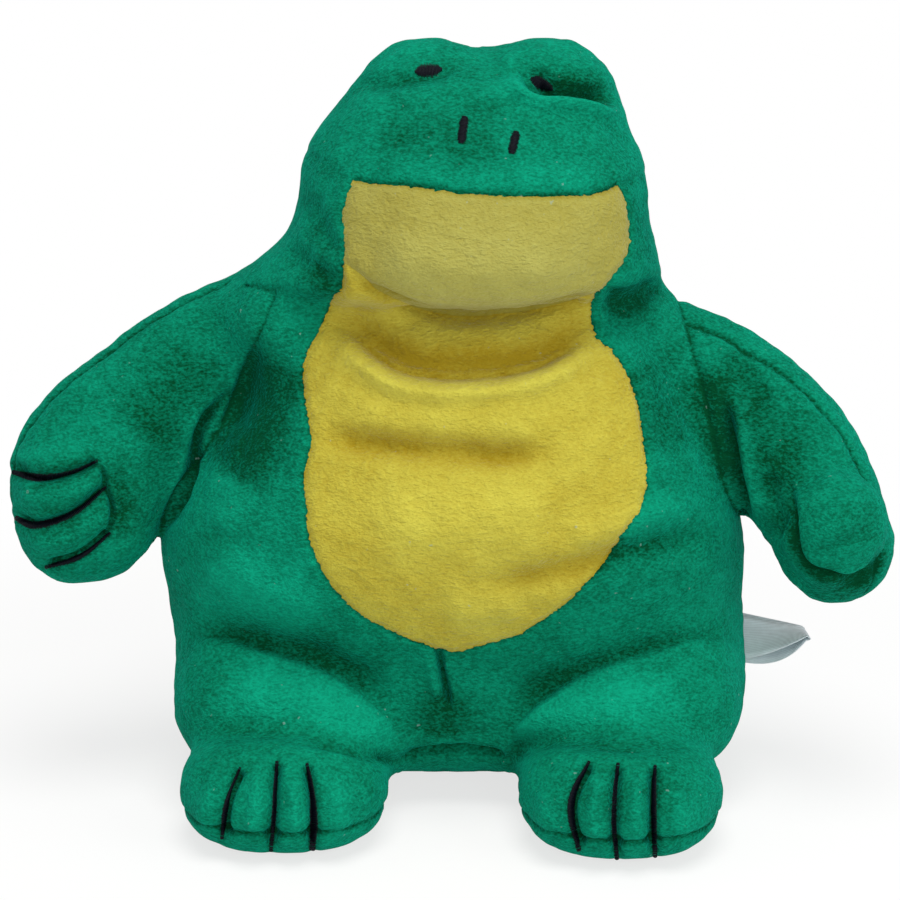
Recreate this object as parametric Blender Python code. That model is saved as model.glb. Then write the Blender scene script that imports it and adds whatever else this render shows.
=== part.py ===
"""A sewn and stuffed plush frog that sits on its seat and its two feet.

Metres, +Z up, the frog faces -Y, and its own left is at +X. The origin is on the floor, in the
middle of the seat. Every stuffed part is a form: a loft of oval rings, with the rolls that it
turns on. A form can be made at any offset from its skin, so that the panels are the space between
two offsets, cut along the seams, and the filling is what is left inside.
"""
import math

import bmesh
import bpy
from mathutils import Matrix, Vector

# Cloth, thread and clearances
SKIN = 0.0016
GAP = 0.0003
JOINT_GAP = 0.0008
CARVE_GAP = 0.0010
PRESSED_FLAT = 0.0005
THREAD_HEIGHT = 0.0008
OVERRUN = 0.03
BLOCK_REACH = 0.35
MERGE = 0.000005
SHARP_EDGE_DEG = 40.0
CARVE_STEP_DEG = 23.0
ROUND = 2.0

# Torso, a pear-shaped bag
TORSO_HEIGHT = 0.106
TORSO_HALF_WIDTH = 0.062
TORSO_HALF_DEPTH = 0.0375
TORSO_POWER = 2.35
TORSO_SIDES = 20
ROLL_SIDES = 12
ROLL_RINGS = 6
SEAT_SEAM_HEIGHT = 0.0055
SIDE_SEAM_BACK = 0.004
CENTRE_SEAM_SIDE = 0.001
TUMMY_WRAP = 0.006

# Each row: height share, half width share, half depth share, shift to +X and to +Y as shares
# of the half width and half depth
TORSO_shares = (
    (0.00, 0.72, 0.56, 0.015, 0.34),
    (0.02, 0.86, 0.66, 0.015, 0.28),
    (0.06, 0.94, 0.77, 0.015, 0.21),
    (0.13, 0.975, 0.87, 0.018, 0.13),
    (0.24, 0.99, 0.92, 0.026, 0.085),
    (0.36, 0.985, 0.955, 0.020, 0.045),
    (0.48, 0.985, 1.00, 0.012, -0.02),
    (0.59, 0.94, 0.99, 0.014, -0.06),
    (0.70, 0.825, 0.94, 0.038, -0.07),
    (0.80, 0.755, 0.88, 0.050, -0.08),
    (0.88, 0.69, 0.80, 0.060, -0.08),
    (0.94, 0.60, 0.66, 0.065, -0.06),
    (0.98, 0.44, 0.44, 0.065, -0.03),
)
TORSO_TIP_share = 0.01

# Tummy outline seen from the front: places as shares of the torso's half width and height
TUMMY_shares = (
    (-0.42, 0.96), (-0.46, 0.90), (-0.46, 0.80), (-0.44, 0.73), (-0.46, 0.66), (-0.45, 0.59),
    (-0.42, 0.53), (-0.35, 0.46), (-0.22, 0.39), (-0.09, 0.355), (0.02, 0.35), (0.18, 0.375),
    (0.33, 0.43), (0.46, 0.51), (0.56, 0.58), (0.62, 0.66), (0.62, 0.74), (0.59, 0.84),
    (0.53, 0.91), (0.46, 0.97), (0.44, 1.20), (-0.30, 1.20), (-0.33, 1.02),
)

# Pouch of pellets that lies on the seat
POUCH_HALF_WIDTH = 0.040
POUCH_HALF_DEPTH = 0.019
POUCH_HEIGHT = 0.026
POUCH_BACK_share = 0.373
POUCH_shares = (
    (0.00, 0.72, 0.70, 0.0, 0.0),
    (0.15, 0.92, 0.92, 0.0, 0.0),
    (0.45, 1.00, 1.00, 0.0, 0.0),
    (0.75, 0.82, 0.82, 0.0, 0.0),
    (0.93, 0.48, 0.48, 0.0, 0.0),
)
POUCH_TIP_share = 0.04
POUCH_SIDES = 12

# Neck, the rounded top of the torso that the head turns on
NECK_SIDE = 0.0040
NECK_BACK = 0.0000
NECK_AXIS_HEIGHT_share = 0.849
NECK_RADIUS = 0.0195
NECK_HALF_LENGTH_share = 0.645
NOD_BACK_DEG = 15.0
NOD_FORWARD_DEG = 10.0

# Head
HEAD_BOTTOM_share = 0.667
HEAD_HEIGHT = 0.0500
HEAD_HALF_WIDTH = 0.0382
HEAD_HALF_DEPTH = 0.0302
HEAD_SIDE = 0.0048
HEAD_POWER = 2.2
HEAD_SIDES = 18
HEAD_shares = (
    (0.00, 0.76, 0.66, 0.000, -0.02),
    (0.05, 0.92, 0.86, 0.000, -0.05),
    (0.14, 1.00, 0.97, 0.000, -0.07),
    (0.26, 1.00, 1.00, 0.000, -0.10),
    (0.39, 0.96, 1.00, 0.000, -0.12),
    (0.52, 0.92, 0.96, 0.000, -0.12),
    (0.64, 0.87, 0.91, 0.010, -0.12),
    (0.76, 0.80, 0.81, 0.020, -0.11),
    (0.87, 0.71, 0.67, 0.035, -0.08),
    (0.95, 0.58, 0.46, 0.050, -0.02),
)
HEAD_TIP_share = 0.05
CROWN_SEAM_BACK = 0.003
CHIN_WRAP = 0.006

# Eye bumps on the crown
BUMP_SPREAD = 0.0124
BUMP_SIDE = 0.0068
BUMP_BACK = -0.0010
BUMP_HEIGHT_share = 0.79
BUMP_HALF_WIDTH = 0.0132
BUMP_HALF_DEPTH = 0.0145
BUMP_HALF_HEIGHT = 0.0131

# Face and chin outlines seen from the front: shares of the head's half width and height
FACE_shares = (
    (-1.50, 0.82), (-0.93, 0.68), (-0.61, 0.555), (0.02, 0.525), (0.74, 0.54), (1.00, 0.63),
    (1.50, 0.76), (1.50, 1.60), (-1.50, 1.60),
)
CHIN_shares = (
    (-0.70, -0.60), (-0.70, 0.14), (-0.73, 0.34), (-0.71, 0.50), (-0.61, 0.555), (0.02, 0.525),
    (0.74, 0.54), (0.83, 0.46), (0.84, 0.30), (0.78, 0.14), (0.70, 0.08), (0.70, -0.60),
)

# Embroidered eyes, placed from the middle of their bumps by shares of the bump's half sizes,
# and nostrils, placed by shares of the head's half width and height
EYE_HALF_WIDTH = 0.0026
EYE_HALF_HEIGHT = 0.0021
EYE_LEAN_DEG = 52.0
EYE_shares = {"right": (0.11, -0.79, 0.32), "left": (-0.08, -0.79, 0.13)}
NOSTRIL_HALF_WIDTH = 0.0010
NOSTRIL_HALF_HEIGHT = 0.0027
NOSTRIL_shares = {"right": (-0.06, 0.754), "left": (0.20, 0.708)}
STITCH_SIDES = 12

# Arms: the hinge runs along the shoulder seam, and the rows go from the root to the hand
ARM_REACH = 0.0385
ARM_HALF_HEIGHT = 0.0165
ARM_HALF_DEPTH = 0.0122
ARM_POWER = 2.1
ARM_SIDES = 12
SHOULDER_RADIUS = 0.0104
SHOULDER_HALF_LENGTH = 0.0170
SWING_FORWARD_DEG = 50.0
SWING_BACK_DEG = 30.0
SHOULDER_PROUD = 0.0003
SHOULDER_HEIGHT_share = {"right": 0.825, "left": 0.750}
SHOULDER_SLANT_DEG = {"right": 21.5, "left": 17.5}
# Each row: outward, forward and upward of the hinge as shares of the reach, then half height
# and half depth shares
ARM_shares = {
    "right": (
        (-0.05, 0.00, 0.05, 0.88, 0.84),
        (0.19, 0.02, 0.04, 0.96, 0.96),
        (0.48, 0.10, -0.09, 0.88, 1.00),
        (0.73, 0.19, -0.30, 0.85, 1.00),
        (0.88, 0.29, -0.55, 0.88, 0.98),
        (0.93, 0.36, -0.78, 0.84, 0.94),
        (0.90, 0.40, -0.98, 0.62, 0.74),
        (0.88, 0.41, -1.09, 0.38, 0.46),
    ),
    "left": (
        (-0.05, 0.00, 0.03, 0.88, 0.84),
        (0.16, 0.04, 0.04, 0.98, 0.96),
        (0.38, 0.15, -0.07, 0.88, 1.00),
        (0.55, 0.29, -0.25, 0.80, 1.00),
        (0.65, 0.42, -0.45, 0.76, 0.98),
        (0.69, 0.52, -0.64, 0.70, 0.92),
        (0.70, 0.57, -0.79, 0.52, 0.72),
        (0.70, 0.59, -0.87, 0.32, 0.44),
    ),
}
ARM_TIP_share = 0.05
# The curled palm: outward, forward and upward of the hinge, then half width, half depth and
# half height, as shares of the reach
PALM_shares = {"left": (0.675, 0.660, -0.455, 0.26, 0.235, 0.325)}

# Legs: the hinge runs across the hip, and the rows go from the root to the toes
LEG_REACH = 0.0330
LEG_HALF_WIDTH = 0.0245
LEG_SPREAD_share = 0.526
LEG_POWER = 2.25
LEG_SIDES = 14
HIP_FORWARD_share = 0.72
HIP_HEIGHT = 0.0170
HIP_RADIUS = 0.0140
HIP_HALF_LENGTH = 0.0235
LIFT_DEG = 40.0
DROOP_DEG = 25.0
SOLE_SEAM_HEIGHT = 0.0060
# Each row: forward of the hinge as a share of the reach, top above the floor as a share of the
# hinge's height, half width share
LEG_shares = (
    (-0.06, 2.10, 0.94),
    (0.14, 2.12, 0.99),
    (0.30, 1.80, 0.95),
    (0.44, 1.44, 0.90),
    (0.70, 1.28, 0.86),
    (0.86, 1.10, 0.78),
    (0.96, 0.82, 0.58),
)
LEG_TIP_share = 0.04
LEG_TIP_HEIGHT_share = 0.36

# Embroidered toe and finger lines
THREAD_WIDTH = 0.0011
TOE_LINE_TOP_share = 1.09
TOE_LINE_BOTTOM_share = 0.09
TOE_LINE_FORWARD_share = 0.45
TOE_LINE_shares = {"right": (-0.40, -0.06, 0.22), "left": (-0.24, 0.06, 0.38)}
TOE_FAN_share = 0.08
FINGER_LINE_NEAR_share = 0.45
FINGER_LINE_FAR_share = 2.0
# Each row: two ends, outward and upward of the hinge as shares of the reach
FINGER_LINE_shares = {
    "right": (
        ((1.20, -0.46), (0.76, -0.40)),
        ((1.16, -0.74), (0.72, -0.55)),
        ((1.00, -0.96), (0.70, -0.80)),
    ),
    "left": (
        ((0.96, -0.42), (0.66, -0.34)),
        ((0.92, -0.62), (0.66, -0.54)),
        ((0.82, -0.80), (0.64, -0.72)),
    ),
}

# Label, a folded satin loop in the side seam
LABEL_LENGTH = 0.0155
LABEL_HEIGHT = 0.0110
LABEL_PLY = 0.0004
LABEL_HALF_LOOP = 0.0009
LABEL_BOTTOM = 0.0185
LABEL_DROOP_DEG = 8.0
LABEL_CLEARANCE = 0.0006
LABEL_BEND_STEPS = 6

NAMED_SIDES = {"right": -1.0, "left": 1.0}


def clear_scene():
    """Remove whatever the file held before."""
    for item in list(bpy.data.objects):
        bpy.data.objects.remove(item)


def material(name, colour, roughness):
    """A Principled material with one plain colour."""
    made = bpy.data.materials.new(name)
    made.use_nodes = True
    shader = made.node_tree.nodes["Principled BSDF"]
    shader.inputs["Base Color"].default_value = (*colour, 1.0)
    shader.inputs["Roughness"].default_value = roughness
    shader.inputs["Metallic"].default_value = 0.0
    made.diffuse_color = (*colour, 1.0)
    return made


def place_mesh(name, bm):
    """Link a new object that holds the bmesh, with its faces pointing out."""
    bmesh.ops.recalc_face_normals(bm, faces=bm.faces)
    mesh = bpy.data.meshes.new(name)
    bm.to_mesh(mesh)
    bm.free()
    made = bpy.data.objects.new(name, mesh)
    bpy.context.scene.collection.objects.link(made)
    return made


def combine(target, tool, operation):
    """Apply one Boolean to the target's mesh and use the tool up."""
    modifier = target.modifiers.new("cut", "BOOLEAN")
    modifier.operation = operation
    modifier.solver = "EXACT"
    modifier.object = tool
    graph = bpy.context.evaluated_depsgraph_get()
    result = bpy.data.meshes.new_from_object(target.evaluated_get(graph))
    target.modifiers.remove(modifier)
    target.data = result
    bpy.data.objects.remove(tool)
    return target


def copy_of(source):
    """A second object with its own mesh."""
    made = source.copy()
    made.data = source.data.copy()
    bpy.context.scene.collection.objects.link(made)
    return made


def oval_point(angle, power):
    """A point of the unit superellipse."""
    across = math.cos(angle)
    along = math.sin(angle)
    return (math.copysign(abs(across) ** (2.0 / power), across),
            math.copysign(abs(along) ** (2.0 / power), along))


def loft(sections, tips, power, sides, grow):
    """A closed solid through oval rings, moved outward by grow.

    A section is its centre and two half-size vectors. The tips close both ends.
    """
    bm = bmesh.new()
    rings = []
    for centre, half_a, half_b in sections:
        ring = []
        for step in range(sides):
            a, b = oval_point(2.0 * math.pi * step / sides, power)
            ring.append(bm.verts.new(centre + half_a * a + half_b * b))
        rings.append(ring)
    for lower, upper in zip(rings, rings[1:]):
        for step in range(sides):
            after = (step + 1) % sides
            bm.faces.new((lower[step], lower[after], upper[after], upper[step]))
    for ring, tip in ((rings[0], tips[0]), (rings[-1], tips[1])):
        pole = bm.verts.new(tip)
        for step in range(sides):
            bm.faces.new((ring[step], ring[(step + 1) % sides], pole))
    bmesh.ops.recalc_face_normals(bm, faces=bm.faces)
    bmesh.ops.triangulate(bm, faces=bm.faces)
    bm.normal_update()
    moved = [v.co + v.normal * (grow * v.calc_shell_factor()) for v in bm.verts]
    for vert, spot in zip(bm.verts, moved):
        vert.co = spot
    return place_mesh("form", bm)


def stacked_loft(rows, tip_share, base, size, power, sides, grow):
    """A loft of level rings, stacked upward from the base."""
    half_width, half_depth, height = size
    sections = []
    for up, wide, deep, aside, back in rows:
        centre = base + Vector((aside * half_width, back * half_depth, up * height))
        sections.append((centre, Vector((wide * half_width, 0, 0)), Vector((0, deep * half_depth, 0))))
    tip = Vector((0, 0, tip_share * height))
    return loft(sections, (sections[0][0], sections[-1][0] + tip), power, sides, grow)


def roll(place, axis, half_length, radius, sides, grow):
    """A barrel that is round about its axis."""
    along = axis.normalized()
    hint = Vector((0, 1, 0))
    across = along.cross(hint).normalized()
    other = along.cross(across)
    sections = []
    for step in range(1, ROLL_RINGS + 1):
        angle = math.pi * step / (ROLL_RINGS + 1)
        centre = place - along * (half_length * math.cos(angle))
        width = radius * math.sin(angle)
        sections.append((centre, across * width, other * width))
    ends = (place - along * half_length, place + along * half_length)
    return loft(sections, ends, ROUND, sides, grow)


def slab(low, high):
    """A box between two corners."""
    bm = bmesh.new()
    bmesh.ops.create_cube(bm, size=1.0)
    low, high = Vector(low), Vector(high)
    bmesh.ops.scale(bm, vec=high - low, verts=bm.verts)
    bmesh.ops.translate(bm, vec=(low + high) / 2.0, verts=bm.verts)
    return place_mesh("slab", bm)


def half_space(place, normal):
    """A large block on the side of a plane that its normal points to."""
    reach = BLOCK_REACH
    block = slab((-reach, -reach, 0), (reach, reach, reach))
    turn = Vector(normal).normalized().to_track_quat("Z", "Y").to_matrix().to_4x4()
    block.data.transform(Matrix.Translation(place) @ turn)
    return block


def outline_prism(points, front, back, grow):
    """A prism from an outline in X and Z, between two depths, with its outline moved out."""
    spots = [Vector(point) for point in points]
    area = sum(a.x * b.y - b.x * a.y for a, b in zip(spots, spots[1:] + spots[:1]))
    turning = math.copysign(1.0, area)
    moved = []
    for index, spot in enumerate(spots):
        before = (spot - spots[index - 1]).normalized()
        after = (spots[(index + 1) % len(spots)] - spot).normalized()
        square = Vector((before.y, -before.x)) * turning
        outward = Vector((before.y + after.y, -before.x - after.x)).normalized() * turning
        moved.append(spot + outward * (grow / outward.dot(square)))
    near = [(spot.x, front, spot.y) for spot in moved]
    far = [(spot.x, back + grow, spot.y) for spot in moved]
    return closed_prism("prism", near, far)


def closed_prism(name, near, far):
    """A solid between two matching outlines."""
    bm = bmesh.new()
    near = [bm.verts.new(spot) for spot in near]
    far = [bm.verts.new(spot) for spot in far]
    bm.faces.new(near)
    bm.faces.new(far)
    for index in range(len(near)):
        after = (index + 1) % len(near)
        bm.faces.new((near[index], near[after], far[after], far[index]))
    return place_mesh(name, bm)


def turned(item, place, axis, degrees):
    """Turn an object's mesh about an axis through a place."""
    turn = Matrix.Rotation(math.radians(degrees), 4, axis)
    item.data.transform(Matrix.Translation(place) @ turn @ Matrix.Translation(-place))
    return item


def torso_row_at(height):
    """Half width, half depth and both shifts as shares, at a height above the floor."""
    share = (height + PRESSED_FLAT) / TORSO_HEIGHT
    for lower, upper in zip(TORSO_shares, TORSO_shares[1:]):
        if share <= upper[0]:
            break
    mix = (share - lower[0]) / (upper[0] - lower[0])
    return [a + (b - a) * mix for a, b in zip(lower[1:], upper[1:])]


def torso_side_at(height, back, sign):
    """Where the torso's left (1) or right (-1) side lies at a height and a depth."""
    wide, deep, aside, shift = torso_row_at(height)
    across = abs(back - shift * TORSO_HALF_DEPTH) / (deep * TORSO_HALF_DEPTH)
    reach = (1.0 - across ** TORSO_POWER) ** (1.0 / TORSO_POWER)
    return (aside + sign * wide * reach) * TORSO_HALF_WIDTH


def shoulder_axis(side):
    """Along the shoulder seam, so that a positive turn swings the arm forward."""
    slant = math.radians(SHOULDER_SLANT_DEG[side])
    return Vector((math.sin(slant), 0, -NAMED_SIDES[side] * math.cos(slant)))


def shoulder_place(side):
    sign = NAMED_SIDES[side]
    height = SHOULDER_HEIGHT_share[side] * TORSO_HEIGHT
    return Vector((torso_side_at(height, 0, sign) + sign * SHOULDER_PROUD, 0, height))


def hip_place(side):
    across = NAMED_SIDES[side] * LEG_SPREAD_share * TORSO_HALF_WIDTH
    return Vector((across, -HIP_FORWARD_share * TORSO_HALF_DEPTH, HIP_HEIGHT))


HIP_AXIS = Vector((-1, 0, 0))
NECK_AXIS = Vector((1, 0, 0))
NECK_PLACE = Vector((NECK_SIDE, NECK_BACK, NECK_AXIS_HEIGHT_share * TORSO_HEIGHT))
HEAD_BASE = Vector((HEAD_SIDE, 0, NECK_PLACE.z + HEAD_BOTTOM_share * NECK_RADIUS))


def torso_loft(grow):
    base = Vector((0, 0, -PRESSED_FLAT))
    size = (TORSO_HALF_WIDTH, TORSO_HALF_DEPTH, TORSO_HEIGHT)
    return stacked_loft(TORSO_shares, TORSO_TIP_share, base, size, TORSO_POWER, TORSO_SIDES, grow)


def neck_roll(grow):
    half_length = NECK_HALF_LENGTH_share * TORSO_HALF_WIDTH
    return roll(NECK_PLACE, NECK_AXIS, half_length, NECK_RADIUS, ROLL_SIDES, grow)


def shoulder_roll(side, grow):
    return roll(shoulder_place(side), shoulder_axis(side), SHOULDER_HALF_LENGTH, SHOULDER_RADIUS,
                ROLL_SIDES, grow)


def hip_roll(side, grow):
    return roll(hip_place(side), HIP_AXIS, HIP_HALF_LENGTH, HIP_RADIUS, ROLL_SIDES, grow)


def torso_form(grow):
    """The torso with its rounded neck, hollowed where the limbs turn and flat on the floor."""
    form = combine(torso_loft(grow), neck_roll(grow), "UNION")
    for side in NAMED_SIDES:
        form = combine(form, shoulder_roll(side, JOINT_GAP - grow), "DIFFERENCE")
        form = combine(form, hip_roll(side, JOINT_GAP - grow), "DIFFERENCE")
    return combine(form, half_space(Vector((0, 0, -grow)), (0, 0, 1)), "INTERSECT")


def angles_between(low, high, largest_step):
    """Even angles from one limit to the other."""
    count = math.ceil((high - low) / largest_step)
    return [low + (high - low) * step / count for step in range(count + 1)]


def carve_by_torso(form, place, axis, low, high, grow):
    """Cut away what the torso would meet anywhere in the joint's range."""
    for degrees in angles_between(low, high, CARVE_STEP_DEG):
        torso = turned(torso_loft(CARVE_GAP - grow), place, axis, -degrees)
        form = combine(form, torso, "DIFFERENCE")
    return form


def bump_centre(sign):
    height = HEAD_BASE.z + BUMP_HEIGHT_share * HEAD_HEIGHT
    return Vector((BUMP_SIDE + sign * BUMP_SPREAD, BUMP_BACK, height))


def egg(centre, half_width, half_depth, half_height, grow):
    """A closed egg of level rings."""
    sections = []
    for step in range(1, ROLL_RINGS + 1):
        angle = math.pi * step / (ROLL_RINGS + 1)
        middle = centre - Vector((0, 0, half_height * math.cos(angle)))
        wide = Vector((half_width * math.sin(angle), 0, 0))
        deep = Vector((0, half_depth * math.sin(angle), 0))
        sections.append((middle, wide, deep))
    rise = Vector((0, 0, half_height))
    return loft(sections, (centre - rise, centre + rise), ROUND, STITCH_SIDES, grow)


def head_shape(grow):
    """The whole head with its two eye bumps."""
    size = (HEAD_HALF_WIDTH, HEAD_HALF_DEPTH, HEAD_HEIGHT)
    form = stacked_loft(HEAD_shares, HEAD_TIP_share, HEAD_BASE, size, HEAD_POWER, HEAD_SIDES, grow)
    for sign in NAMED_SIDES.values():
        bump = egg(bump_centre(sign), BUMP_HALF_WIDTH, BUMP_HALF_DEPTH, BUMP_HALF_HEIGHT, grow)
        form = combine(form, bump, "UNION")
    return form


def head_form(grow):
    """The head, hollowed over the neck."""
    form = head_shape(grow)
    form = carve_by_torso(form, NECK_PLACE, NECK_AXIS, -NOD_BACK_DEG, NOD_FORWARD_DEG, grow)
    return combine(form, neck_roll(JOINT_GAP - grow), "DIFFERENCE")


def arm_sections(side):
    """Rings square to the arm's run, from the root to the hand."""
    sign = NAMED_SIDES[side]
    hinge = shoulder_place(side)
    rows = ARM_shares[side]
    centres = []
    for out, forward, up, _, _ in rows:
        centres.append(hinge + Vector((sign * out, -forward, up)) * ARM_REACH)
    sections = []
    for index, row in enumerate(rows):
        before = centres[max(index - 1, 0)]
        after = centres[min(index + 1, len(rows) - 1)]
        run = (after - before).normalized()
        deep = (Vector((0, 1, 0)) - run * run.y).normalized()
        high = run.cross(deep).normalized()
        half_height, half_depth = row[3] * ARM_HALF_HEIGHT, row[4] * ARM_HALF_DEPTH
        sections.append((centres[index], high * half_height, deep * half_depth))
    return sections


def palm(side, grow):
    """The palm of a hand that is curled forward."""
    out, forward, up, wide, deep, tall = PALM_shares[side]
    centre = shoulder_place(side) + Vector((NAMED_SIDES[side] * out, -forward, up)) * ARM_REACH
    return egg(centre, wide * ARM_REACH, deep * ARM_REACH, tall * ARM_REACH, grow)


def arm_shape(side, grow):
    """The whole arm, reaching into the torso."""
    sections = arm_sections(side)
    last_run = (sections[-1][0] - sections[-2][0]).normalized()
    tips = (sections[0][0], sections[-1][0] + last_run * (ARM_TIP_share * ARM_REACH))
    form = loft(sections, tips, ARM_POWER, ARM_SIDES, grow)
    if side in PALM_shares:
        form = combine(form, palm(side, grow), "UNION")
    return form


def arm_form(side, grow):
    """The arm, cut off at the torso, with the roll that it turns on."""
    form = arm_shape(side, grow)
    form = carve_by_torso(form, shoulder_place(side), shoulder_axis(side),
                          -SWING_BACK_DEG, SWING_FORWARD_DEG, grow)
    return combine(form, shoulder_roll(side, grow), "UNION")


def leg_shape(side, grow):
    """The whole thigh and foot."""
    hinge = hip_place(side)
    sections = []
    for forward, top_share, wide in LEG_shares:
        top = top_share * HIP_HEIGHT
        middle = (top - PRESSED_FLAT) / 2.0
        half_height = (top + PRESSED_FLAT) / 2.0
        centre = Vector((hinge.x, hinge.y - forward * LEG_REACH, middle))
        sections.append((centre, Vector((wide * LEG_HALF_WIDTH, 0, 0)), Vector((0, 0, half_height))))
    toe = sections[-1][0] - Vector((0, LEG_TIP_share * LEG_REACH, 0))
    toe.z = LEG_TIP_HEIGHT_share * HIP_HEIGHT
    return loft(sections, (sections[0][0], toe), LEG_POWER, LEG_SIDES, grow)


def leg_form(side, grow):
    """The leg, cut off at the torso, with its roll, and flat on the floor."""
    hinge = hip_place(side)
    form = leg_shape(side, grow)
    form = carve_by_torso(form, hinge, HIP_AXIS, -DROOP_DEG, LIFT_DEG, grow)
    form = combine(form, hip_roll(side, grow), "UNION")
    return combine(form, half_space(Vector((0, 0, -grow)), (0, 0, 1)), "INTERSECT")


def skin_of(form_maker):
    """The cloth: the space between the outside and one skin's thickness inside it."""
    return combine(form_maker(0.0), form_maker(-SKIN), "DIFFERENCE")


def filling_of(form_maker):
    return form_maker(-SKIN - GAP)


def finish(item, name, chosen_material, joint_place=None):
    """Name the piece, give it its material and put its origin on its joint."""
    item.name = name
    item.data.name = name
    bm = bmesh.new()
    bm.from_mesh(item.data)
    bmesh.ops.dissolve_degenerate(bm, dist=MERGE, edges=bm.edges)
    bmesh.ops.triangulate(bm, faces=bm.faces)
    bm.to_mesh(item.data)
    bm.free()
    item.data.materials.clear()
    item.data.materials.append(chosen_material)
    for face in item.data.polygons:
        face.material_index = 0
    item.data.shade_smooth()
    item.data.set_sharp_from_angle(angle=math.radians(SHARP_EDGE_DEG))
    if joint_place is not None:
        item.data.transform(Matrix.Translation(-joint_place))
        item.location = joint_place
    return item


def patch(shape_maker, outline, name, thread, joint_place):
    """Satin stitch: a thin raised layer over the skin, inside an outline's prism."""
    raised = combine(shape_maker(GAP + THREAD_HEIGHT), outline, "INTERSECT")
    layer = combine(raised, shape_maker(GAP), "DIFFERENCE")
    return finish(layer, name, thread, joint_place)


def oval_prism(place, half_width, half_height, lean_deg, reach):
    """An oval post that starts at a place and points forward and up by the lean."""
    lean = math.radians(lean_deg)
    forward = Vector((0, -math.cos(lean), math.sin(lean)))
    upward = Vector((0, math.sin(lean), math.cos(lean)))
    near = []
    for step in range(STITCH_SIDES):
        angle = 2.0 * math.pi * step / STITCH_SIDES
        across = Vector((half_width * math.cos(angle), 0, 0))
        near.append(place + across + upward * (half_height * math.sin(angle)))
    return closed_prism("post", near, [spot + forward * reach for spot in near])


def stroke_prism(ends, front, back):
    """A prism one thread row wide along a straight stroke in X and Z."""
    start, stop = Vector(ends[0]), Vector(ends[1])
    along = (stop - start).normalized()
    across = Vector((-along.y, along.x)) * (THREAD_WIDTH / 2.0)
    corners = [start + across, start - across, stop - across, stop + across]
    return outline_prism([tuple(corner) for corner in corners], front, back, 0.0)


def make_torso(velour, yellow, polyester, pouch_cloth):
    """Filling, pellet pouch and the six panels round them."""
    tummy = [(x * TORSO_HALF_WIDTH, z * TORSO_HEIGHT) for x, z in TUMMY_shares]
    front = -TORSO_HALF_DEPTH - OVERRUN

    def tummy_prism(grow):
        return outline_prism(tummy, front, -TUMMY_WRAP, grow)

    skin = skin_of(torso_form)
    seat_top = Vector((0, 0, SEAT_SEAM_HEIGHT))
    seat = combine(copy_of(skin), half_space(seat_top, (0, 0, -1)), "INTERSECT")
    finish(seat, "seat_panel", velour)
    above = combine(skin, half_space(seat_top + Vector((0, 0, GAP)), (0, 0, 1)), "INTERSECT")
    panel = combine(copy_of(above), tummy_prism(0.0), "INTERSECT")
    finish(panel, "tummy_panel", yellow)
    green = combine(above, tummy_prism(GAP), "DIFFERENCE")
    for end, normal in (("front", -1), ("back", 1)):
        seam = Vector((0, SIDE_SEAM_BACK + normal * GAP / 2.0, 0))
        half = combine(copy_of(green), half_space(seam, (0, normal, 0)), "INTERSECT")
        for side, sign in NAMED_SIDES.items():
            centre = Vector((sign * GAP / 2.0 - CENTRE_SEAM_SIDE, 0, 0))
            quarter = combine(copy_of(half), half_space(centre, (sign, 0, 0)), "INTERSECT")
            finish(quarter, f"{end}_panel_{side}", velour)
        bpy.data.objects.remove(half)
    bpy.data.objects.remove(green)

    floor = SKIN + GAP
    pouch_base = Vector((0, POUCH_BACK_share * TORSO_HALF_DEPTH, floor - PRESSED_FLAT))
    pouch_size = (POUCH_HALF_WIDTH, POUCH_HALF_DEPTH, POUCH_HEIGHT)

    def pouch_form(grow):
        return stacked_loft(POUCH_shares, POUCH_TIP_share, pouch_base, pouch_size, ROUND,
                            POUCH_SIDES, grow)

    filling = combine(filling_of(torso_form), pouch_form(GAP), "DIFFERENCE")
    finish(filling, "torso_filling", polyester)
    pouch = combine(pouch_form(0.0), half_space(Vector((0, 0, floor)), (0, 0, 1)), "INTERSECT")
    finish(pouch, "pellet_pouch", pouch_cloth)


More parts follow.
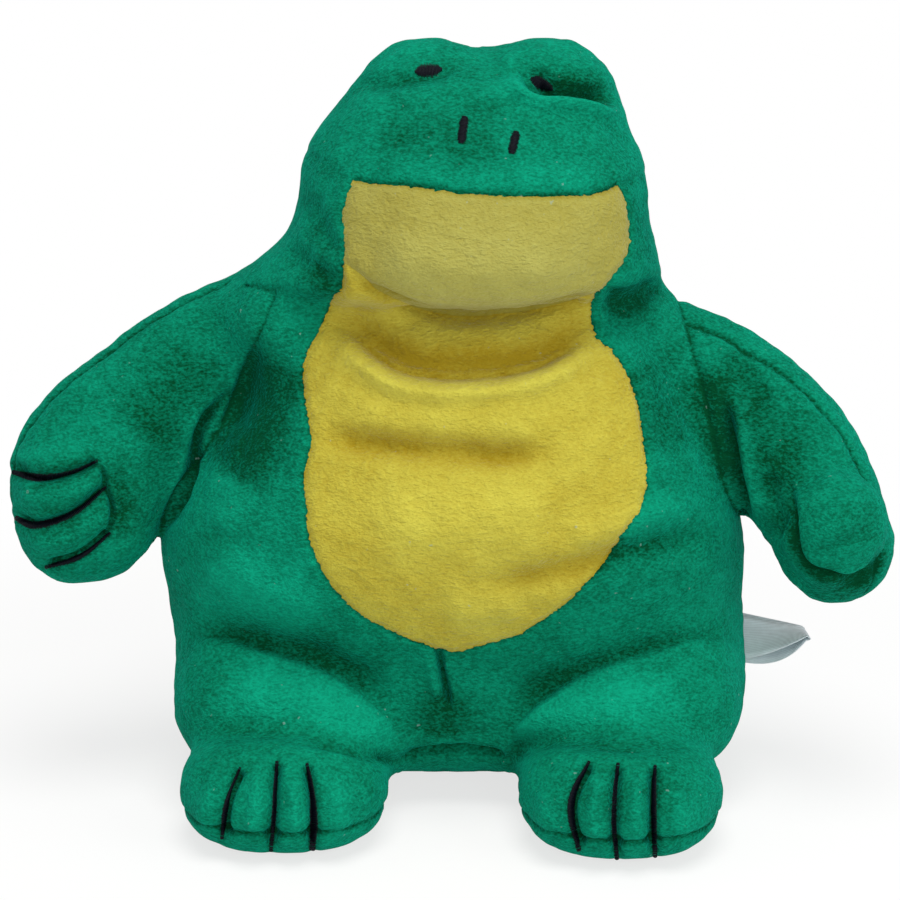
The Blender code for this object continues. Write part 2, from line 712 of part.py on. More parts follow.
def make_head(velour, yellow, polyester, thread):
    """Filling, face, chin, two back panels and the embroidered face."""
    width, height, base = HEAD_HALF_WIDTH, HEAD_HEIGHT, HEAD_BASE
    face = [(base.x + x * width, base.z + z * height) for x, z in FACE_shares]
    chin = [(base.x + x * width, base.z + z * height) for x, z in CHIN_shares]
    front = -HEAD_HALF_DEPTH - OVERRUN

    skin = skin_of(head_form)
    panel = combine(copy_of(skin), outline_prism(face, front, CROWN_SEAM_BACK, 0.0), "INTERSECT")
    finish(panel, "face_panel", velour, NECK_PLACE)
    rest = combine(skin, outline_prism(face, front, CROWN_SEAM_BACK, GAP), "DIFFERENCE")
    panel = combine(copy_of(rest), outline_prism(chin, front, -CHIN_WRAP, 0.0), "INTERSECT")
    finish(panel, "chin_panel", yellow, NECK_PLACE)
    rest = combine(rest, outline_prism(chin, front, -CHIN_WRAP, GAP), "DIFFERENCE")
    for side, sign in NAMED_SIDES.items():
        centre = Vector((HEAD_SIDE + sign * GAP / 2.0, 0, 0))
        half = combine(copy_of(rest), half_space(centre, (sign, 0, 0)), "INTERSECT")
        finish(half, f"head_back_{side}", velour, NECK_PLACE)
    bpy.data.objects.remove(rest)
    finish(filling_of(head_form), "head_filling", polyester, NECK_PLACE)

    for side, (x, y, z) in EYE_shares.items():
        offset = Vector((x * BUMP_HALF_WIDTH, y * BUMP_HALF_DEPTH, z * BUMP_HALF_HEIGHT))
        start = bump_centre(NAMED_SIDES[side]) + offset
        post = oval_prism(start, EYE_HALF_WIDTH, EYE_HALF_HEIGHT, EYE_LEAN_DEG, OVERRUN)
        patch(head_shape, post, f"eye_{side}", thread, NECK_PLACE)
    for side, (x, z) in NOSTRIL_shares.items():
        start = base + Vector((x * width, 0, z * height))
        post = oval_prism(start, NOSTRIL_HALF_WIDTH, NOSTRIL_HALF_HEIGHT, 0.0,
                          HEAD_HALF_DEPTH + OVERRUN)
        patch(head_shape, post, f"nostril_{side}", thread, NECK_PLACE)


def make_arm(side, velour, polyester, thread):
    """Filling, front and back panels, and three finger lines."""
    hinge = shoulder_place(side)

    def form(grow):
        return arm_form(side, grow)

    def shape(grow):
        return arm_shape(side, grow)

    centres = [section[0] for section in arm_sections(side)]
    middle, hand = centres[len(centres) // 2], centres[-1]
    forward = (middle - centres[0]).cross(hand - centres[0]).normalized()
    if forward.y > 0:
        forward = -forward
    skin = skin_of(form)
    for name, normal in (("front", forward), ("back", -forward)):
        seam = centres[0] + normal * (GAP / 2.0)
        panel = combine(copy_of(skin), half_space(seam, normal), "INTERSECT")
        finish(panel, f"arm_{name}_panel_{side}", velour, hinge)
    bpy.data.objects.remove(skin)
    finish(filling_of(form), f"arm_filling_{side}", polyester, hinge)

    sign = NAMED_SIDES[side]
    near = FINGER_LINE_NEAR_share * ARM_HALF_DEPTH * sign
    far = FINGER_LINE_FAR_share * ARM_HALF_DEPTH * sign
    for index, ends in enumerate(FINGER_LINE_shares[side]):
        spots = [(hinge.x + sign * out * ARM_REACH, hinge.z + up * ARM_REACH) for out, up in ends]
        stroke = stroke_prism(spots, centres[-2].y + near, centres[-2].y + far)
        stroke = carve_by_torso(stroke, hinge, shoulder_axis(side), -SWING_BACK_DEG, SWING_FORWARD_DEG, 0.0)
        patch(shape, stroke, f"finger_line_{side}_{index + 1}", thread, hinge)


def make_leg(side, velour, polyester, thread):
    """Filling, top and sole panels, and three toe lines."""
    hinge = hip_place(side)

    def form(grow):
        return leg_form(side, grow)

    def shape(grow):
        return leg_shape(side, grow)

    skin = skin_of(form)
    seam = Vector((0, 0, SOLE_SEAM_HEIGHT))
    top = combine(copy_of(skin), half_space(seam + Vector((0, 0, GAP / 2.0)), (0, 0, 1)), "INTERSECT")
    finish(top, f"foot_top_panel_{side}", velour, hinge)
    sole = combine(skin, half_space(seam - Vector((0, 0, GAP / 2.0)), (0, 0, -1)), "INTERSECT")
    finish(sole, f"sole_panel_{side}", velour, hinge)
    finish(filling_of(form), f"leg_filling_{side}", polyester, hinge)

    back = hinge.y - TOE_LINE_FORWARD_share * LEG_REACH
    for index, share in enumerate(TOE_LINE_shares[side]):
        top_x = hinge.x + share * LEG_HALF_WIDTH
        low_x = top_x + math.copysign(TOE_FAN_share, share) * LEG_HALF_WIDTH
        top_z, low_z = TOE_LINE_TOP_share * HIP_HEIGHT, TOE_LINE_BOTTOM_share * HIP_HEIGHT
        stroke = stroke_prism(((top_x, top_z), (low_x, low_z)), back - LEG_REACH - OVERRUN, back)
        patch(shape, stroke, f"toe_line_{side}_{index + 1}", thread, hinge)


def label_hinge():
    middle = LABEL_BOTTOM + LABEL_HEIGHT / 2.0
    side = torso_side_at(middle, SIDE_SEAM_BACK, NAMED_SIDES["left"])
    reach = side + LABEL_CLEARANCE + LABEL_HALF_LOOP
    return Vector((reach, SIDE_SEAM_BACK, middle))


def half_ring(centre_x, radius, start_deg, steps):
    """Points of a half circle, turning anticlockwise from a start angle."""
    points = []
    for step in range(steps + 1):
        angle = math.radians(start_deg) + math.pi * step / steps
        points.append((centre_x + radius * math.cos(angle), radius * math.sin(angle)))
    return points


def make_label(satin):
    """A strip folded back on itself, its two ends in the side seam."""
    hinge = label_hinge()
    bend = LABEL_LENGTH - LABEL_HALF_LOOP
    inner = LABEL_HALF_LOOP - LABEL_PLY
    outline = half_ring(bend, LABEL_HALF_LOOP, -90.0, LABEL_BEND_STEPS)
    outline += half_ring(0, LABEL_HALF_LOOP, 90.0, LABEL_BEND_STEPS)
    hollow = half_ring(bend, inner, -90.0, LABEL_BEND_STEPS) + [(0, inner), (0, -inner)]
    half = LABEL_HEIGHT / 2.0
    loop = closed_prism("label", [(x, y, -half) for x, y in outline], [(x, y, half) for x, y in outline])
    run = half + OVERRUN
    hole = closed_prism("hollow", [(x, y, -run) for x, y in hollow], [(x, y, run) for x, y in hollow])
    loop = combine(loop, hole, "DIFFERENCE")
    loop.data.transform(Matrix.Rotation(math.radians(LABEL_DROOP_DEG), 4, "Y"))
    loop.data.transform(Matrix.Translation(hinge))
    finish(loop, "label_loop", satin, hinge)


def main():
    clear_scene()
    velour = material("green_velour", (0.010, 0.200, 0.095), 0.9)
    yellow = material("yellow_velour", (0.470, 0.430, 0.055), 0.9)
    polyester = material("polyester_filling", (0.800, 0.800, 0.780), 0.95)
    pouch_cloth = material("pouch_cloth", (0.650, 0.630, 0.580), 0.9)
    thread = material("black_thread", (0.008, 0.010, 0.014), 0.45)
    satin = material("white_satin", (0.560, 0.640, 0.680), 0.35)
    make_torso(velour, yellow, polyester, pouch_cloth)
    make_head(velour, yellow, polyester, thread)
    for side in NAMED_SIDES:
        make_arm(side, velour, polyester, thread)
        make_leg(side, velour, polyester, thread)
    make_label(satin)


main()
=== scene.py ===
"""Looks of the plush frog.

The whole frog is one continuous skin, made from a field of soft forms in millimetres. Folds are
pressed into it where the photograph shows them, and it is cut along its seams into the velour
panels of the real toy. The seat panel rides on the torso's body; the others stay where they are made.
"""
import math

import bpy
import numpy as np
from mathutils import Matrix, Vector
from mathutils.bvhtree import BVHTree
from mathutils.kdtree import KDTree


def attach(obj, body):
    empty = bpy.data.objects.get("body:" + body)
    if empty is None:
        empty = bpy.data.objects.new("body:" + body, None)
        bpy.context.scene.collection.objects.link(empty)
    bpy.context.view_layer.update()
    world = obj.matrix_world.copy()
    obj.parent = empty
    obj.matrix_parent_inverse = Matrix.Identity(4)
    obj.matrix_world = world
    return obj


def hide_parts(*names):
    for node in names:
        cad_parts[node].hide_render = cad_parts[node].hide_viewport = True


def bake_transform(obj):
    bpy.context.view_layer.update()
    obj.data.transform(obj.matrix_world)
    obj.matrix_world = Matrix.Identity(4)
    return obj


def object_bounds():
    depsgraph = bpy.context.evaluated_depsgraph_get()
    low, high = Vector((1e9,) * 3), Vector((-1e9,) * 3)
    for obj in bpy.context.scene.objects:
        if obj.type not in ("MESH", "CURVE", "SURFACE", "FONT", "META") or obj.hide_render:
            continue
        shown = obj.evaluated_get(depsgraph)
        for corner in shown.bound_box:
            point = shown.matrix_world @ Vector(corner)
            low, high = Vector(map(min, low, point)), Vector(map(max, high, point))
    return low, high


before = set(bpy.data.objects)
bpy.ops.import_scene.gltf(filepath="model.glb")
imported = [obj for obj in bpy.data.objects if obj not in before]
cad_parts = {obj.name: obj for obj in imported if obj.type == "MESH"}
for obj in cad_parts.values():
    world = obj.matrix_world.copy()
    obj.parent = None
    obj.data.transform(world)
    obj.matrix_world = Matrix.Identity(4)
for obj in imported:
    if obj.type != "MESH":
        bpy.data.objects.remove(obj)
cad_box = [list(corner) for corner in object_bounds()]

MM = 0.001
VOXEL = 0.85
MARGIN = 4.0
SIDES = {"right": -1.0, "left": 1.0}

# The camera of the photograph
PHOTO_SIZE = 900
CAMERA_ELEVATION_DEG = 15.0
CAMERA_DISTANCE = 550.0
CAMERA_TARGET = np.array((0.0, 0.0, 69.5))
CAMERA_LENS = 104.76
SENSOR = 36.0
FOCAL_PX = CAMERA_LENS / SENSOR * PHOTO_SIZE
# A pixel's size at the distance of the target, in millimetres
PX = CAMERA_DISTANCE / FOCAL_PX
LEAN = math.radians(CAMERA_ELEVATION_DEG)
# From the target towards the camera, and up in the picture
CAMERA_BACK = np.array((0.0, -math.cos(LEAN), math.sin(LEAN)))
CAMERA_UP = np.array((0.0, math.sin(LEAN), math.cos(LEAN)))
CAMERA_PLACE = CAMERA_TARGET + CAMERA_DISTANCE * CAMERA_BACK

# Level ovals: height, half width, half depth, middle x, middle y
TORSO_ROWS = (
    (-3.0, 50.0, 18.0, 1.0, 13.2),
    (0.0, 54.0, 20.5, 1.0, 13.2),
    (4.0, 58.0, 26.4, 1.2, 9.6),
    (8.0, 58.6, 31.2, 1.0, 6.0),
    (14.0, 60.0, 33.6, 1.7, 4.0),
    (22.0, 60.7, 34.4, 2.4, 3.2),
    (30.0, 60.8, 34.8, 2.0, 2.8),
    (40.0, 61.0, 36.4, 1.0, 1.0),
    (51.0, 61.2, 37.6, 0.6, -1.2),
    (60.0, 59.4, 37.4, 0.6, -2.2),
    (74.0, 52.0, 34.6, 2.0, -2.8),
    (84.0, 45.5, 31.5, 3.0, -3.0),
    (92.0, 41.5, 28.5, 3.4, -3.0),
    (98.0, 37.5, 25.5, 3.6, -2.4),
    (104.0, 32.0, 21.0, 3.8, -1.2),
    (110.0, 24.0, 15.0, 4.0, 0.0),
)
TORSO_TOP = 108.0
TORSO_POWER = 2.4
HEAD_ROWS = (
    (100.0, 34.0, 17.0, 2.2, -1.0),
    (104.0, 38.5, 23.0, 2.2, -2.5),
    (108.0, 40.6, 28.5, 2.2, -4.0),
    (113.0, 38.9, 31.0, 3.3, -4.6),
    (119.0, 36.3, 31.6, 4.1, -4.8),
    (125.6, 35.2, 30.6, 4.7, -4.6),
    (131.8, 34.4, 28.0, 4.7, -4.0),
    (137.9, 31.2, 24.6, 4.7, -3.2),
    (144.0, 26.8, 20.0, 5.8, -1.8),
    (148.5, 22.8, 15.5, 6.8, -0.4),
    (153.0, 18.0, 10.0, 7.4, 1.0),
)
HEAD_BOTTOM = 103.5
HEAD_TOP = 152.0
HEAD_POWER = 2.25

# Ellipsoids: middle, half sizes
EYE_BUMPS = {
    "right": ((-5.0, -0.5, 143.2), (12.6, 14.5, 11.6)),
    "left": ((19.4, -0.5, 143.0), (13.4, 15.0, 11.8)),
}

NECK_FILLS = {
    "right": ((-33.0, -5.0, 99.0), (13.5, 17.0, 12.0)),
    "left": ((36.5, -1.0, 98.5), (8.0, 11.0, 8.5)),
}
NECK_FILL_BLEND = 7.0

# Limbs: middle of each ring, half height, half depth
ARM_ROWS = {
    "right": (
        (-34.0, 1.0, 91.0, 13.0, 11.0),
        (-44.0, -1.0, 90.6, 15.2, 12.0),
        (-53.0, -3.0, 86.4, 15.4, 12.5),
        (-61.5, -6.0, 80.2, 15.6, 12.5),
        (-69.2, -9.0, 74.0, 16.3, 12.5),
        (-74.0, -12.0, 67.4, 16.4, 12.5),
        (-74.8, -13.0, 60.0, 14.8, 12.0),
    ),
    "left": (
        (36.0, 1.0, 89.5, 13.0, 11.0),
        (47.0, -1.0, 86.6, 14.4, 12.0),
        (56.0, -4.0, 82.2, 14.8, 12.5),
        (64.0, -8.0, 76.6, 14.8, 12.5),
        (70.8, -13.0, 69.8, 14.2, 12.5),
        (75.4, -18.0, 62.4, 12.8, 12.0),
        (78.6, -20.0, 54.8, 12.0, 11.0),
    ),
}
HAND_PADS = {
    "right": ((-77.8, -17.0, 62.0), (11.6, 10.0, 15.8)),
    "left": ((77.2, -27.6, 60.4), (10.6, 9.8, 12.0)),
}
THIGHS = {
    "right": (
        (-42.0, -21.0, 20.5, 14.5, 16.0),
        (-32.0, -24.5, 18.5, 14.0, 16.0),
        (-24.0, -27.0, 15.5, 11.5, 14.0),
        (-18.5, -28.5, 12.5, 7.5, 10.5),
    ),
    "left": (
        (44.5, -20.0, 20.5, 15.0, 16.0),
        (34.5, -24.5, 18.5, 14.0, 16.0),
        (26.5, -27.5, 15.5, 11.5, 14.0),
        (21.0, -29.0, 12.5, 7.5, 10.5),
    ),
}
FEET = {
    "right": ((-33.2, -41.0, 10.6), (20.8, 17.6, 12.6)),
    "left": ((34.0, -42.0, 10.6), (20.4, 20.2, 12.6)),
}
FOOT_POWER = 2.3
CHAIN_STATIONS = 26
# How far round a limb's middles the field is worked out
LIMB_REACH = 34.0
# Keeps divisions from a zero
TINY = 1e-4

# How softly one form runs into the next, in millimetres. A pair runs from its first to its second
# number, for the neck from front to back or aside, for a shoulder upwards, for a leg outwards
NECK_BLEND = (1.2, 14.0)
NECK_BLEND_BETWEEN = (-30.0, -16.0)
NECK_BLEND_ASIDE = (20.0, 32.0)
NECK_MIDDLE = 5.0
BUMP_BLEND = 7.0
SHOULDER_BLEND = (4.4, 6.0)
SHOULDER_BLEND_UP = (56.0, 74.0)
PAD_BLEND = 1.4
LEG_BLEND = (8.0, 13.0)
LEG_BLEND_ASIDE = (36.0, 54.0)
FOOT_BLEND = 4.0
END_ROUND = 6.0
FLOOR_ROUND = 4.0


def to_photo(points):
    """Pixel coordinates in the photograph's frame of points in millimetres."""
    offset = points - CAMERA_PLACE
    depth = -(offset @ CAMERA_BACK)
    return np.stack((PHOTO_SIZE / 2 + FOCAL_PX * offset[:, 0] / depth,
                     PHOTO_SIZE / 2 - FOCAL_PX * (offset @ CAMERA_UP) / depth), axis=1)


def photo_ray(spot):
    """Start and direction, in millimetres, of the camera's ray through a pixel."""
    across = np.array((1.0, 0.0, 0.0)) * (spot[0] - PHOTO_SIZE / 2) / FOCAL_PX
    rise = CAMERA_UP * (PHOTO_SIZE / 2 - spot[1]) / FOCAL_PX
    return CAMERA_PLACE, -CAMERA_BACK + across + rise


def smooth_step(low, high, value):
    share = np.clip((value - low) / (high - low), 0.0, 1.0)
    return share * share * (3.0 - 2.0 * share)


def between(pair, share):
    return pair[0] + (pair[1] - pair[0]) * share


def smooth_min(a, b, reach):
    """The smaller of two distances, with the corner between them rounded."""
    near = np.maximum(reach - np.abs(a - b), 0.0) / reach
    return np.minimum(a, b) - near * near * reach * 0.25


def smooth_max(a, b, reach):
    return -smooth_min(-a, -b, reach)


def curve_through(rows, at):
    """The columns of a table at given places, on a smooth curve through its rows."""
    rows = np.asarray(rows, float)
    place, values = rows[:, 0], rows[:, 1:]
    slope = np.gradient(values, place, axis=0)
    index = np.clip(np.searchsorted(place, at) - 1, 0, len(place) - 2)
    width = (place[index + 1] - place[index])[..., None]
    t = np.clip((at - place[index])[..., None] / width, 0.0, 1.0)
    a, b = values[index], values[index + 1]
    ta, tb = slope[index] * width, slope[index + 1] * width
    made = (a * (2 * t**3 - 3 * t**2 + 1) + ta * (t**3 - 2 * t**2 + t)
            + b * (3 * t**2 - 2 * t**3) + tb * (t**3 - t**2))
    return np.moveaxis(made, -1, 0)


def resampled(points, count):
    """Points of a smooth curve through a few, even in their own index."""
    points = np.asarray(points, float)
    rows = np.column_stack((np.arange(len(points)), points))
    return curve_through(rows, np.linspace(0, len(points) - 1, count)).T


# Share of an oval within which its half depth stands for the distance to its edge
OVAL_CORE = 0.05


def oval_stack(x, y, z, rows, power):
    """Distance, about, from a pile of level ovals."""
    half_x, half_y, middle_x, middle_y = curve_through(rows, z)
    across, along = x - middle_x, y - middle_y
    share = ((np.abs(across) / half_x) ** power + (np.abs(along) / half_y) ** power) ** (1.0 / power)
    radius = np.sqrt(across * across + along * along)
    scale = np.where(share > OVAL_CORE, radius / np.maximum(share, OVAL_CORE), half_y)
    return (share - 1.0) * scale


def ellipsoid(x, y, z, middle, half, power=2.0):
    """Distance, about, from a superellipsoid."""
    a, b, c = (x - middle[0]) / half[0], (y - middle[1]) / half[1], (z - middle[2]) / half[2]
    if power == 2.0:
        share = np.sqrt(a * a + b * b + c * c)
    else:
        share = (np.abs(a) ** power + np.abs(b) ** power + np.abs(c) ** power) ** (1.0 / power)
    steep = np.sqrt((a / half[0]) ** 2 + (b / half[1]) ** 2 + (c / half[2]) ** 2)
    plain = np.sqrt(a * a + b * b + c * c)
    return (share - 1.0) * np.maximum(plain, 10 * TINY) / np.maximum(steep, TINY)


def stations(rows):
    """Middles, frames and half sizes of the ellipsoids along a limb."""
    table = resampled(rows, CHAIN_STATIONS)
    middles = table[:, :3]
    runs = np.gradient(middles, axis=0)
    runs /= np.linalg.norm(runs, axis=1)[:, None]
    deeps = np.array((0.0, 1.0, 0.0)) - runs * runs[:, 1:2]
    deeps /= np.linalg.norm(deeps, axis=1)[:, None]
    highs = np.cross(runs, deeps)
    return middles, runs, deeps, highs, table[:, 3], table[:, 4]


def chain(x, y, z, rows):
    """Distance, about, from a limb."""
    best = None
    for middle, run, deep, high, tall, thick in zip(*stations(rows)):
        dx, dy, dz = x - middle[0], y - middle[1], z - middle[2]
        a = (dx * run[0] + dy * run[1] + dz * run[2]) / tall
        b = (dx * deep[0] + dy * deep[1] + dz * deep[2]) / thick
        c = (dx * high[0] + dy * high[1] + dz * high[2]) / tall
        share = np.sqrt(a * a + b * b + c * c)
        steep = np.sqrt((a / tall) ** 2 + (b / thick) ** 2 + (c / tall) ** 2)
        gap = share * (share - 1.0) / np.maximum(steep, TINY)
        best = gap if best is None else np.minimum(best, gap)
    return best


def torso_field(x, y, z):
    side = oval_stack(x, y, z, TORSO_ROWS, TORSO_POWER)
    return smooth_max(side, z - TORSO_TOP, END_ROUND)


def head_field(x, y, z):
    side = oval_stack(x, y, z, HEAD_ROWS, HEAD_POWER)
    field = smooth_max(side, z - HEAD_TOP, END_ROUND)
    field = smooth_max(field, HEAD_BOTTOM - z, END_ROUND)
    for middle, half in EYE_BUMPS.values():
        field = smooth_min(field, ellipsoid(x, y, z, middle, half), BUMP_BLEND)
    return field


def body_field(x, y, z):
    aside = smooth_step(*NECK_BLEND_ASIDE, np.abs(x - NECK_MIDDLE))
    share = np.maximum(smooth_step(*NECK_BLEND_BETWEEN, y), aside)
    field = smooth_min(torso_field(x, y, z), head_field(x, y, z), between(NECK_BLEND, share))
    for middle, half in NECK_FILLS.values():
        field = smooth_min(field, ellipsoid(x, y, z, middle, half), NECK_FILL_BLEND)
    return field


def arm_field(side, x, y, z):
    pad = ellipsoid(x, y, z, *HAND_PADS[side])
    return smooth_min(chain(x, y, z, ARM_ROWS[side]), pad, PAD_BLEND)


def leg_field(side, x, y, z):
    foot = ellipsoid(x, y, z, *FEET[side], FOOT_POWER)
    return smooth_min(chain(x, y, z, THIGHS[side]), foot, FOOT_BLEND)


def frog_values():
    """The whole field on a grid, and the grid's lowest corner."""
    low = np.array(cad_box[0]) / MM - MARGIN
    high = np.array(cad_box[1]) / MM + MARGIN
    axes = [np.arange(low[i], high[i] + VOXEL, VOXEL, dtype=np.float32) for i in range(3)]
    x, y, z = axes[0][:, None, None], axes[1][None, :, None], axes[2][None, None, :]
    values = body_field(x, y, z).astype(np.float32)
    for side in SIDES:
        for maker, rows in ((arm_field, ARM_ROWS), (leg_field, THIGHS)):
            spots = np.array(rows[side])[:, :3]
            if maker is leg_field:
                spots = np.vstack((spots, FEET[side][0]))
            near, far = spots.min(0) - LIMB_REACH, spots.max(0) + LIMB_REACH
            cut = tuple(slice(max(int((near[i] - low[i]) / VOXEL), 0), int((far[i] - low[i]) / VOXEL))
                        for i in range(3))
            part = maker(side, x[cut[0]], y[:, cut[1]], z[:, :, cut[2]])
            reach = between(SHOULDER_BLEND, smooth_step(*SHOULDER_BLEND_UP, z[:, :, cut[2]]))
            if maker is leg_field:
                reach = between(LEG_BLEND, smooth_step(*LEG_BLEND_ASIDE, np.abs(x[cut[0]])))
            values[cut] = smooth_min(values[cut], part, reach)
    return smooth_max(values, -z, FLOOR_ROUND), low


def surface_of(values, low):
    """Vertices and quads of the surface where the values change sign."""
    inside = values < 0
    cells = np.array(values.shape) - 1
    ids, places, quads = [], [], []
    for axis in range(3):
        u, v = (axis + 1) % 3, (axis + 2) % 3
        first, second = [slice(None)] * 3, [slice(None)] * 3
        first[axis], second[axis] = slice(None, -1), slice(1, None)
        spots = np.argwhere(inside[tuple(first)] != inside[tuple(second)])
        after = spots.copy()
        after[:, axis] += 1
        a, b = values[tuple(spots.T)], values[tuple(after.T)]
        place = spots.astype(float)
        place[:, axis] += a / (a - b)
        corners = []
        for du, dv in ((0, 0), (-1, 0), (-1, -1), (0, -1)):
            cell = spots.copy()
            cell[:, u] += du
            cell[:, v] += dv
            corners.append(np.ravel_multi_index(cell.T, cells))
            ids.append(corners[-1])
            places.append(place)
        ring = np.stack(corners, axis=1)
        ring[a > 0] = ring[a > 0][:, ::-1]
        quads.append(ring)
    ids, places, quads = np.concatenate(ids), np.concatenate(places), np.concatenate(quads)
    used, slot = np.unique(ids, return_inverse=True)
    count = np.bincount(slot)
    verts = np.stack([np.bincount(slot, weights=places[:, i]) / count for i in range(3)], axis=1)
    return verts * VOXEL + low, np.searchsorted(used, quads)


def triangles_of(verts, quads):
    """Split each quad along its shorter diagonal."""
    a, b, c, d = (verts[quads[:, i]] for i in range(4))
    short = np.linalg.norm(a - c, axis=1) < np.linalg.norm(b - d, axis=1)
    first = np.where(short[:, None], quads[:, (0, 1, 2)], quads[:, (0, 1, 3)])
    second = np.where(short[:, None], quads[:, (0, 2, 3)], quads[:, (1, 2, 3)])
    return np.concatenate((first, second))


def normals_of(verts, tris):
    a, b, c = verts[tris[:, 0]], verts[tris[:, 1]], verts[tris[:, 2]]
    flat = np.cross(b - a, c - a)
    made = np.zeros_like(verts)
    for i in range(3):
        for axis in range(3):
            made[:, axis] += np.bincount(tris[:, i], weights=flat[:, axis], minlength=len(verts))
    return made / np.maximum(np.linalg.norm(made, axis=1), 1e-12)[:, None]


def edges_of(tris):
    """Every edge once, and for each triangle the numbers of its three."""
    pairs = np.sort(np.concatenate((tris[:, (0, 1)], tris[:, (1, 2)], tris[:, (2, 0)])), axis=1)
    edges, which = np.unique(pairs, axis=0, return_inverse=True)
    return edges, which.ravel().reshape(3, -1).T


SMOOTH_ROUNDS = 2
SMOOTH_SHARE = 0.5


def smoothed(values, edges):
    """Each vertex's value drawn towards the mean of its neighbours."""
    count = np.bincount(edges.ravel(), minlength=len(values))
    for _ in range(SMOOTH_ROUNDS):
        total = np.zeros_like(values)
        for axis in range(values.shape[1]):
            total[:, axis] = (
                np.bincount(edges[:, 0], weights=values[edges[:, 1], axis], minlength=len(values))
                + np.bincount(edges[:, 1], weights=values[edges[:, 0], axis], minlength=len(values)))
        values = values + SMOOTH_SHARE * (total / np.maximum(count, 1)[:, None] - values)
    return values


def cut_along(verts, tris, field):
    """Add vertices where the field is zero, so that no triangle crosses it."""
    field = np.where(np.abs(field) < TINY, TINY, field)
    positive = field > 0
    mixed = positive[tris].any(1) & ~positive[tris].all(1)
    whole, split = tris[~mixed], tris[mixed]
    signs = positive[split]
    lone = np.where(signs.sum(1) == 1, signs.argmax(1), (~signs).argmax(1))
    rows = np.arange(len(split))
    a, b, c = split[rows, lone], split[rows, (lone + 1) % 3], split[rows, (lone + 2) % 3]
    pairs = np.sort(np.concatenate((np.stack((a, b), 1), np.stack((a, c), 1))), axis=1)
    edges, which = np.unique(pairs, axis=0, return_inverse=True)
    which = which.ravel()
    t = field[edges[:, 0]] / (field[edges[:, 0]] - field[edges[:, 1]])
    made = verts[edges[:, 0]] * (1 - t)[:, None] + verts[edges[:, 1]] * t[:, None]
    p, q = which[:len(split)] + len(verts), which[len(split):] + len(verts)
    parts = (np.stack((a, p, q), 1), np.stack((p, b, c), 1), np.stack((p, c, q), 1))
    return np.vstack((verts, made)), np.concatenate((whole, *parts))


# Seams seen from the front, in the photograph's pixels
TUMMY_EDGE_px = (
    (341, 288), (331, 302), (326, 316), (317, 334), (308, 349), (302, 367), (302, 388), (306, 412),
    (311, 440), (308, 456), (303, 473), (303, 490), (306, 508), (306, 527), (311, 547), (320, 568),
    (332, 588), (348, 606), (368, 621), (398, 636), (430, 648), (455, 654), (480, 648), (520, 636),
    (546, 620), (568, 604), (588, 583), (606, 560), (627, 531), (641, 510), (647, 490), (648, 468),
    (645, 444), (641, 412), (636, 394), (628, 372), (613, 350), (597, 337), (592, 322), (592, 304),
    (599, 288), (600, 255), (342, 255),
)
CHIN_EDGE_px = (
    (350, 186), (345, 198), (341, 212), (343, 237), (343, 258), (341, 272), (341, 330), (600, 330),
    (602, 292), (613, 278), (623, 266), (631, 248), (631, 224), (627, 199), (620, 186), (612, 150),
    (370, 140), (356, 165),
)
MOUTH_px = (
    (240, 112), (285, 132), (306, 150), (322, 163), (340, 175), (361, 181), (395, 184), (443, 191),
    (497, 195), (561, 196), (599, 193), (616, 187), (633, 180), (648, 171), (690, 158),
)
CHIN_CREASE_px = (
    (250, 244), (300, 250), (344, 264), (382, 293), (443, 314), (510, 313), (561, 304), (602, 293),
    (640, 284), (700, 278),
)
# How far the pile at a seam of two colours strays, and over which lengths, in pixels
RAGGED = 1.5
RAGGED_WAVES = (4.0, 7.0, 13.0)
RAGGED_SEED = 5

# Seams in the frog's own frame, in millimetres
NECK_SIDE_HEIGHT = 107.5
NECK_FRONT = (-20.0, -12.0)
CROWN_SEAM = 3.0
SIDE_SEAM = 4.0
CENTRE_SEAM = -1.4
BACK_SEAM = 1.5
HEAD_CENTRE = 5.0
SEAT_SEAM = 5.5
SOLE_SEAM = 7.5
ARM_SEAM_FORWARD = {"right": 3.5, "left": 7.0}
ARMHOLES = {
    "right": ((-35.6, 105.4), (-48.6, 72.7)),
    "left": ((48.4, 98.0), (54.6, 71.6)),
}

